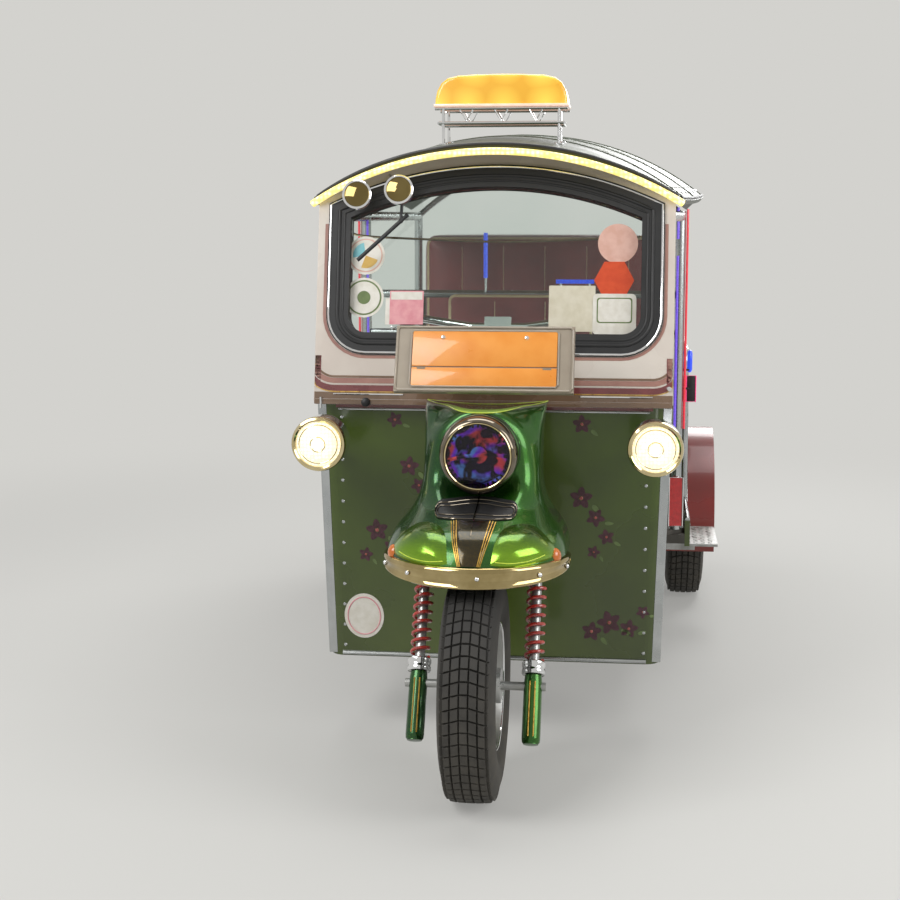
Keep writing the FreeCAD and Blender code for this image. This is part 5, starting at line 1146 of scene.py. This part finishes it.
for x in (-0.162, 0.162):
    tube(rack, [Vector((x, SIGN_Y + t, RACK_LOW)) for t in (-0.060, 0.0, 0.060)], 0.0045, 8)
put(rack, "sign_rack_tubes", bright_chrome, "chassis", ["sign_rack"])

# Mirrors: domed gold-tinted faces in rolled chrome rims.
MIRRORS = [SCREEN @ Matrix.Translation((x, -0.080, up_slope(z, 0.072))) @ FORWARD
           for x, z in ((-0.340, 1.400), (-0.235, 1.412))]
spun("mirror_faces", mirror_gold, "chassis",
     [(0.0, 0.0075), (0.012, 0.0066), (0.024, 0.0038), (0.0325, 0.0), (0.0, 0.0)], MIRRORS, 48)
spun("mirror_rims", bright_chrome, "chassis",
     [(0.0310, -0.001), (0.0315, 0.0030), (0.0340, 0.0042), (0.0368, 0.0022), (0.0372, -0.010),
      (0.0362, -0.0145), (0.0350, -0.010)], MIRRORS, 48, ring=True)

# Neon tubes along the door posts, and two small lit markers on the left post.
rods("post_neon_violet", neon_violet, "chassis",
     [upright(sign * 0.4755, 0.119, (low, (low + high) / 2, high)) for sign in SIDES
      for low, high in ((0.70, 1.23), (1.28, 1.375))], 0.0036)
rods("post_neon_red", neon_red, "chassis",
     [upright(sign * 0.5045, 0.135, (0.70, 1.0, 1.37)) for sign in SIDES], 0.0036)
spun("post_marker_blue", neon_blue, "chassis",
     [(0.0, 0.070), (0.005, 0.068), (0.0080, 0.060), (0.0080, 0.010), (0.005, 0.002), (0.0, 0.0)],
     [Matrix.Translation((0.5195, 0.165, 0.871))], 20)
corners = ((0.5105, 0.7805), (0.5105, 0.8615), (0.5395, 0.8615), (0.5395, 0.7805))
rods("post_marker_pink", neon_pink, "chassis", [[Vector((x, 0.165, z)) for x, z in corners]],
     0.0018, 6, True)
marker = bmesh.new()
block(marker, (0.028, 0.008, 0.080), Matrix.Translation((0.525, 0.170, 0.821)), 0.002)
for z in (0.822, 0.880):
    block(marker, (0.026, 0.006, 0.006), Matrix.Translation((0.506, 0.160, z)), 0.001)
put(marker, "post_marker_holders", chassis_black, "chassis")

# Inside: quilted headliner between the bows, a curtain rod and blue light bars on the partition.
TUFT_ACROSS, TUFT_ALONG = 0.135, 0.14
for index, (low, high) in enumerate(((-0.735, 0.122), (0.158, 1.424))):
    liner = bmesh.new()
    bmesh.ops.create_grid(liner, x_segments=64, y_segments=round((high - low) / 0.016), size=0.5)
    tufts = round((high - low) / TUFT_ALONG)
    for vert in liner.verts:
        y = low + (high - low) * (vert.co.y + 0.5)
        half = 0.405 + 0.085 * ease(y, -0.75, 0.14)
        x = 2 * vert.co.x * half
        ceiling = touch(roof_skin, (x, y, 1.36), Z)[0].z
        along = math.pi * (y - low) * tufts / (high - low)
        tuck = abs(math.sin(math.pi * x / TUFT_ACROSS)) * abs(math.sin(along))
        vert.co = Vector((x, y, ceiling - 0.004 - 0.010 * tuck ** 0.6))
    turn_faces(liner, -Z)
    bmesh.ops.solidify(liner, geom=liner.faces, thickness=0.002)
    liner = put(liner, "headliner_%d" % (index + 1), headliner_cloth, "chassis", sharp=80)
ROD = [(-0.428, 1.338), (-0.412, 1.306), (-0.375, 1.295), (-0.25, 1.288), (0.0, 1.280),
       (0.25, 1.288), (0.375, 1.295), (0.412, 1.306), (0.428, 1.338)]
rods("curtain_rod", brass_chrome, "chassis",
     [[Vector((x, -0.52, z)) for x, z in smooth_path(ROD, 5)]], 0.0030)
BLUE_BARS = [[Vector((x, 0.122, 1.150)) for x in (0.108, 0.165, 0.224)],
             upright(-0.109, 0.122, (1.160, 1.23, 1.298))]
rods("partition_blue_bars", neon_blue, "chassis", BLUE_BARS, 0.0065, 10)
rods("partition_bar_stays", stainless_tube, "chassis",
     [upright(x, 0.128, (1.116, (1.116 + top) / 2, top))
      for x, top in ((-0.109, 1.160), (0.122, 1.146), (0.210, 1.146))], 0.0035)


# Roof: piped edges, welts over the vinyl's seams and a row of studs along each side.
def over_roof(x, y):
    """The roof's outer face at a place, and its normal, or nothing beside the roof."""
    return touch(roof_skin, (x, y, 1.8), -Z)


def edge_of_roof(on, off, place):
    """Halves the way between a number on the roof and one off it, until the edge is found."""
    while abs(off - on) > 0.0005:
        middle = (on + off) / 2
        on, off = (middle, off) if over_roof(*place(middle))[0] else (on, middle)
    return on


def roof_half(y):
    """Half the roof's width at a place along it."""
    return edge_of_roof(0.30, 0.62, lambda x: (x, y))


def roof_front(x):
    """Where the roof's leaning front edge starts, at a place across it."""
    return edge_of_roof(-0.60, -0.87, lambda y: (x, y))


ROOF_ROWS = [-0.745 + 2.240 * i / 40 for i in range(41)]
EDGES = [(y, roof_half(y)) for y in ROOF_ROWS]
WELTS_Y = (-0.36, 0.14, 0.60, 1.04)
ACROSS = [i / 24 - 1 for i in range(49)]
hems, welts, studs = bmesh.new(), bmesh.new(), []
for sign in SIDES:
    tube(hems, [over_roof(sign * (half - 0.006), y)[0] for y, half in EDGES], 0.0052, 8)
    tube(welts, [over_roof(sign * (half - 0.046), y)[0] for y, half in EDGES], 0.0024, 6)
    for y, half in EDGES[2::3]:
        hit, normal = over_roof(sign * (half - 0.027), y)
        studs.append(facing(hit - normal * 0.0004, normal))
for y, line, radius in [(1.495, hems, 0.0052)] + [(y, welts, 0.0034) for y in WELTS_Y]:
    half = roof_half(y) - 0.004
    tube(line, [over_roof(half * share, y)[0] for share in ACROSS], radius, 8)
tube(hems, [over_roof(0.455 * share, roof_front(0.455 * share) + 0.003)[0] for share in ACROSS], 0.0045, 8)
put(hems, "roof_hem_cord", black_rubber, "chassis")
put(welts, "roof_welts", roof_vinyl, "chassis")
spun("roof_press_studs", bright_chrome, "chassis",
     [(0.0, 0.0036), (0.004, 0.0032), (0.0075, 0.0010), (0.0075, 0.0), (0.0, 0.0)], studs, 14)

# Tub: steel capping, pinstripes, rivets, wheel arch beads and mud flaps.
TUB_X, TUB_SKIN, TUB_REAR = 0.5225, 0.5299, 1.4809
TUB_RAIL = [(0.150, 0.4115), (0.335, 0.4115), (0.505, 0.4115), (0.5245, 0.4200), (0.5420, 0.550),
            (0.5610, 0.680), (0.5900, 0.7340), (0.6300, 0.7890), (0.6500, 0.8020), (0.900, 0.8020),
            (1.200, 0.8020), (1.458, 0.8020)]
TUB_RIVETS = ([(0.170 + 0.060 * i, 0.350) for i in range(7)] + [(1.325 + 0.050 * i, 0.350) for i in range(3)]
              + [(1.445, 0.420 + 0.060 * i) for i in range(6)] + [(0.165, 0.366), (0.165, 0.394)])
caps, stripes, rivets = bmesh.new(), bmesh.new(), []
for sign in SIDES:
    tube(caps, [Vector((sign * TUB_X, y, z)) for y, z in TUB_RAIL], 0.0080, 10)
    for height, width in ((0.748, 0.0060), (0.736, 0.0024)):
        path = [Vector((sign * 0.5302, y, height)) for y in (0.665, 0.92, 1.18, 1.440)]
        ribbon(stripes, path, X, width, 0.0008)
    rivets += [facing(Vector((sign * TUB_SKIN, y, z)), X * sign) for y, z in TUB_RIVETS]
for x in (-TUB_X, TUB_X):
    tube(caps, upright(x, 1.473, (0.805, 0.92, 1.040)), 0.0080, 10)
tube(caps, [Vector((x, 1.473, 1.0405)) for x in (-TUB_X, 0, TUB_X)], 0.0085, 10)
rivets += [facing(Vector((-0.50 + 0.10 * i, TUB_REAR, z)), Y) for i in range(11) for z in (0.402, 1.018)]
put(caps, "tub_cappings", stainless_tube, "chassis")
put(stripes, "tub_pinstripes", gold_stripe, "chassis")
spun("tub_rivets", stainless_tube, "chassis",
     [(0.0, 0.0026), (0.003, 0.0022), (0.0052, 0.0), (0.0, 0.0)], rivets, 10)
beads = bmesh.new()
for sign in SIDES:
    for x, radius, under, thick in ((0.6245, 0.3020, 8, 0.0045), (0.5330, 0.3330, 6, 0.0030)):
        centre = Vector((sign * x, REAR_AXLE.y, REAR_AXLE.z))
        tube(beads, arc_points(centre, radius, -under, 180 + under, 48, Y, Z), thick, 8)
put(beads, "fender_beads", stainless_tube, "chassis")
swages = []
for low, high in ((-0.330, -0.020), (0.020, 0.330)):
    corners = [(low + 0.02, 0.74), (high - 0.02, 0.74), (high, 0.76), (high, 0.96), (high - 0.02, 0.98),
               (low + 0.02, 0.98), (low, 0.96), (low, 0.76)]
    swages.append([Vector((x, 1.4812, z)) for x, z in corners])
rods("rear_panel_swages", olive_enamel, "chassis", swages, 0.0040, 8, True)
flaps = bmesh.new()
for sign in SIDES:
    block(flaps, (0.080, 0.005, 0.130), Matrix.Translation((sign * 0.580, 1.2810, 0.178))
          @ Matrix.Rotation(math.radians(6), 4, "X"), 0.002)
put(flaps, "mud_flaps", black_rubber, "chassis")

# Tail lamps: chrome bezels, ribbed lenses; the door markers get a frame each.
TAIL_LAMPS = [(x, z) for x in (-0.400, 0.400) for z in (0.540, 0.640)]
spun("tail_lamp_bezels", bright_chrome, "chassis",
     [(0.0425, 0.0), (0.0485, 0.0), (0.0490, 0.006), (0.0465, 0.020), (0.0440, 0.0262), (0.0425, 0.0262)],
     [facing(Vector((x, 1.481, z)), Y) for x, z in TAIL_LAMPS], 48, ring=True)
spun("tail_lamp_lenses", red_lens, "chassis",
     [(0.0, 0.0052), (0.008, 0.0050), (0.010, 0.0036), (0.012, 0.0048), (0.019, 0.0044), (0.021, 0.0030),
      (0.023, 0.0040), (0.030, 0.0032), (0.032, 0.0016), (0.034, 0.0026), (0.041, 0.0004), (0.041, -0.001),
      (0.0, -0.001)], [facing(Vector((x, 1.505, z)), Y) for x, z in TAIL_LAMPS], 40)
rods("door_marker_frames", bright_chrome, "chassis",
     [[Vector((sign * 0.484 + a, 0.1095, 0.475 + b))
       for a, b in ((-0.021, -0.076), (0.021, -0.076), (0.021, 0.076), (-0.021, 0.076))] for sign in SIDES],
     0.0024, 6, True)

# Steps: raised lozenges on the plate.
LOZENGE_PITCH = 0.0228
lozenges = bmesh.new()
for sign in SIDES:
    for row in range(6):
        for i in range(13):
            spot = (sign * (0.4835 + LOZENGE_PITCH * row), 0.2230 + LOZENGE_PITCH * i, 0.3242)
            turn = Matrix.Rotation(math.radians(45 + 90 * ((row + i) % 2)), 4, "Z")
            block(lozenges, (0.0150, 0.0042, 0.0018), Matrix.Translation(spot) @ turn)
put(lozenges, "step_lozenges", tread_aluminium, "chassis")

# Handlebar: levers with ball ends, and switch boxes.
LEVER = [(0.238, -0.606, 1.0710), (0.264, -0.603, 1.0640), (0.285, -0.580, 1.0570), (0.296, -0.545, 1.0510),
         (0.302, -0.500, 1.0470)]
levers, boxes = bmesh.new(), bmesh.new()
for sign in SIDES:
    path = smooth_path([(sign * x, y, z) for x, y, z in LEVER], 5)
    tube(levers, [Vector(p) for p in path], 0.0045, 8)
    turned(levers, [(0.0, 0.008), (0.005, 0.0065), (0.0075, 0.001), (0.006, -0.004), (0.0, -0.006)],
           facing(Vector(path[-1]), Vector((0, 1, -0.1))), 16)
    block(boxes, (0.030, 0.044, 0.030), Matrix.Translation((sign * 0.2440, -0.6150, 1.0775))
          @ Matrix.Rotation(math.radians(sign * 30), 4, "Z"), 0.006, 3)
put(levers, "handlebar_levers", bright_chrome, "steering")
put(boxes, "handlebar_switch_boxes", black_rubber, "steering")

# Floor: ribbed rubber mats for the driver and the passengers.
mats = bmesh.new()
for x_half, low, high in ((0.395, -0.700, -0.430), (0.490, 0.190, 0.540)):
    block(mats, (2 * x_half, high - low, 0.0025), Matrix.Translation((0, (low + high) / 2, 0.3860)), 0.001)
    ribs = round(2 * x_half / 0.018)
    for i in range(ribs):
        x = -x_half + 0.009 + i * (2 * x_half - 0.018) / (ribs - 1)
        block(mats, (0.006, high - low - 0.020, 0.0024), Matrix.Translation((x, (low + high) / 2, 0.3880)))
put(mats, "floor_mats", black_rubber, "chassis")

# Running gear: bolts over the axle, brake drums, straps round the tank and bands round the silencer.
clips = bmesh.new()
for sign in SIDES:
    for y in (-0.050, 0.050):
        corners = [(-0.030, 0.045), (-0.030, -0.052), (0.030, -0.052), (0.030, 0.045)]
        tube(clips, [Vector((sign * 0.280 + a, REAR_AXLE.y + y, 0.300 + b)) for a, b in corners], 0.0050, 8)
    turned(clips, [(0.060, 0.0), (0.118, 0.0), (0.120, 0.010), (0.118, 0.034), (0.060, 0.034)],
           facing(Vector((sign * 0.462, REAR_AXLE.y, REAR_AXLE.z)), X * sign), 48, ring=True)
put(clips, "axle_clips", chassis_black, "chassis")
straps = bmesh.new()
for x in (-0.165, 0.165):
    tube(straps, arc_points(Vector((x, 1.260, 0.435)), 0.1095, 0, 351, 48, Y, Z), 0.0050, 6, closed=True)
for y in (0.062, 0.328):
    tube(straps, arc_points(Vector((-0.160, y, 0.214)), 0.0555, 0, 351, 40, X, Z), 0.0028, 6, closed=True)
put(straps, "tank_straps", chassis_black, "chassis")
louvres = bmesh.new()
for sign in SIDES:
    for i in range(7):
        place = Matrix.Translation((sign * 0.2402, -0.150, 0.450 + 0.028 * i))
        block(louvres, (0.010, 0.300, 0.003), place @ Matrix.Rotation(sign * 0.5, 4, "Y"), 0.001)
put(louvres, "engine_cover_louvres", painted_steel, "chassis")


# Upholstery: each cushion is blown up as cloth between its sewn channels and its piped rim.
def applied(piece):
    """Bakes a piece's modifiers into its mesh."""
    mesh = bpy.data.meshes.new_from_object(piece.evaluated_get(bpy.context.evaluated_depsgraph_get()))
    piece.modifiers.clear()
    piece.data = mesh
    return mesh


def stuffed(node, up, side, radius, channels, voxel, swell):
    """A cushion in its CAD solid's space.

    up is the axis of its crown and side the crown's way along it; the face behind rests.
    channels are the sewn lines across the crown, as places along X."""
    low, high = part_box(node)
    middle, half = (low + high) / 2, (high - low) / 2
    start = bmesh.new()
    start.from_mesh(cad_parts[node].data)
    bmesh.ops.remove_doubles(start, verts=start.verts, dist=1e-5)
    for vert in start.verts:
        for i in range(3):
            vert.co[i] = middle[i] + (vert.co[i] - middle[i]) * (1 - swell / half[i])
        vert.co[up] -= side * swell
    mesh = bpy.data.meshes.new(node + "_pad")
    start.to_mesh(mesh)
    start.free()
    mesh.materials.append(maroon_leatherette)
    piece = bpy.data.objects.new(node + "_pad", mesh)
    scene.collection.objects.link(piece)
    remesh = piece.modifiers.new("remesh", "REMESH")
    remesh.mode = "VOXEL"
    remesh.voxel_size = voxel
    mesh = applied(piece)
    other = 3 - up
    crown = middle[up] + side * (half[up] - 2 * swell)
    rest = middle[up] - side * half[up]
    half_x, half_o = half.x - swell, half[other] - swell
    held = []
    for vert in mesh.vertices:
        deep = side * (crown - vert.co[up])
        from_x, from_o = half_x - abs(vert.co.x - middle.x), half_o - abs(vert.co[other] - middle[other])
        inward = radius - math.hypot(max(radius - from_x, 0), max(radius - from_o, 0))
        on_rim = abs(deep - inward) < 0.55 * voxel and deep < 0.6 * radius
        on_channel = deep < 0.4 * half[up] and any(abs(vert.co.x - x) < 0.5 * voxel for x in channels)
        if on_rim or on_channel or abs(vert.co[up] - rest) < 0.6 * voxel:
            held.append(vert.index)
    piece.vertex_groups.new(name="held").add(held, 1.0, "REPLACE")
    before = [vert.co.copy() for vert in mesh.vertices]
    cloth = piece.modifiers.new("cloth", "CLOTH")
    cloth.settings.vertex_group_mass = "held"
    cloth.settings.use_pressure = True
    cloth.settings.uniform_pressure_force = 4.0
    cloth.settings.effector_weights.gravity = 0.0
    cloth.point_cache.frame_start, cloth.point_cache.frame_end = 1, 20
    for step in range(1, 21):
        scene.frame_set(step)
    mesh = applied(piece)
    scene.frame_set(1)
    for vert, was in zip(mesh.vertices, before):
        move = vert.co - was
        for i in range(3):
            cap = 0.95 * (2 * swell if i == up else swell)
            move[i] = cap * math.tanh(move[i] / cap)
        vert.co = was + move
    piece.vertex_groups.clear()
    mesh.shade_smooth()
    more = piece.modifiers.new("subdivision", "SUBSURF")
    more.levels = more.render_levels = 1
    skin = BVHTree.FromPolygons([v.co for v in mesh.vertices], [p.vertices for p in mesh.polygons])
    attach(piece, "chassis")
    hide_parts(node)
    inset = 0.293 * radius
    piping = bmesh.new()
    path = []
    for a, b in rounded_loop(half_x - inset, half_o - inset, 0.707 * radius):
        spot = Vector(middle)
        spot.x, spot[other], spot[up] = middle.x + a, middle[other] + b, crown - side * inset
        path.append(spot)
    tube(piping, path, 0.0048, 10, closed=True)
    put(piping, node + "_piping", cream_leatherette, "chassis")
    threads = bmesh.new()
    away = Vector((0, 0, 0))
    away[up] = side
    for x in channels:
        line = []
        for i in range(41):
            spot = Vector(middle)
            spot.x, spot[up] = x, crown + side * 0.2
            spot[other] = middle[other] + (half_o - radius) * (i / 20 - 1)
            line.append(touch(skin, spot, -away)[0] + away * 0.0008)
        tube(threads, line, 0.0011, 6)
    put(threads, node + "_seam_threads", cream_leatherette, "chassis")


stuffed("passenger_cushion", 2, 1, 0.040, (-0.333, -0.167, 0.0, 0.167, 0.333), 0.012, 0.014)
stuffed("passenger_backrest", 1, -1, 0.040, (-0.318, -0.159, 0.0, 0.159, 0.318), 0.012, 0.014)
stuffed("driver_cushion", 2, 1, 0.030, (-0.077, 0.077), 0.008, 0.010)
stuffed("driver_backrest", 1, -1, 0.022, (-0.077, 0.077), 0.008, 0.008)


# Floor, lights and camera.
def shown(tree):
    """1 for rays of the camera, of reflections and through glass."""
    rays = add(tree, "LightPath").outputs
    shown_by = rays["Is Camera Ray"]
    for other in ("Is Glossy Ray", "Is Transmission Ray"):
        shown_by = add(tree, "Math", {"operation": "MAXIMUM", 0: shown_by, 1: rays[other]}).outputs[0]
    return shown_by


floor = bmesh.new()
bmesh.ops.create_grid(floor, x_segments=1, y_segments=1, size=30)
floor_mesh = bpy.data.meshes.new("studio_floor")
floor.to_mesh(floor_mesh)
floor.free()
# Seamless paper: far from the object it takes the backdrop's own tone, and near it keeps the shadow.
BACKDROP = linear("#D3D2CE")
paper_floor, tree = blank("paper_floor")
place = add(tree, "TexCoord").outputs["Object"]
away = add(tree, "VectorMath", {"operation": "LENGTH", 0: place}).outputs["Value"]
fade = add(tree, "MapRange", {"interpolation_type": "SMOOTHERSTEP", "Value": away, "From Min": 0.9,
                              "From Max": 5.4, "To Min": 0.40}).outputs["Result"]
dull = add(tree, "BsdfPrincipled", {"Base Color": linear("#C9C8C4"), "Roughness": 0.9}).outputs["BSDF"]
glow = add(tree, "Emission", {"Color": BACKDROP}).outputs["Emission"]
both = add(tree, "MixShader", {0: multiply(tree, fade, shown(tree)), 1: dull, 2: glow}).outputs[0]
add(tree, "OutputMaterial", {"Surface": both})
floor_mesh.materials.append(paper_floor)
floor_piece = bpy.data.objects.new("studio_floor", floor_mesh)
scene.collection.objects.link(floor_piece)
floor_piece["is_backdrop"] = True

world = bpy.data.worlds.new("studio")
world.use_nodes = True
scene.world = world
sky = world.node_tree
sky.nodes.clear()
plain = add(sky, "Background", {"Color": BACKDROP, "Strength": 1.0}).outputs[0]
soft = add(sky, "Background", {"Color": linear("#C8CACC"), "Strength": 0.42}).outputs[0]
back = add(sky, "MixShader", {0: shown(sky), 1: soft, 2: plain})
add(sky, "OutputWorld", {"Surface": back.outputs[0]})

# Soft boxes: name, place, size, power in watts.
for name, place, size, power in (("key", (-2.6, -3.6, 3.6), 2.6, 150), ("fill", (3.4, -2.4, 2.4), 2.4, 80),
                                 ("top", (0.0, 0.6, 4.4), 3.2, 120), ("rear", (1.6, 4.6, 3.0), 2.6, 120)):
    data = bpy.data.lights.new(name + "_box", "AREA")
    data.size = size
    data.energy = power
    lamp = bpy.data.objects.new(name + "_box", data)
    lamp.location = place
    lamp.rotation_euler = (Vector((0, 0, 0.7)) - Vector(place)).to_track_quat("-Z", "Y").to_euler()
    scene.collection.objects.link(lamp)

camera = bpy.data.objects.new("camera", bpy.data.cameras.new("camera"))
camera.location = (0.3685, -4.8765, 1.345)
camera.rotation_euler = (math.radians(90 - 8.16), 0, math.radians(6.71))
camera.data.sensor_width = 36
camera.data.lens = 64.9
scene.collection.objects.link(camera)
scene.camera = camera

low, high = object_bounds()
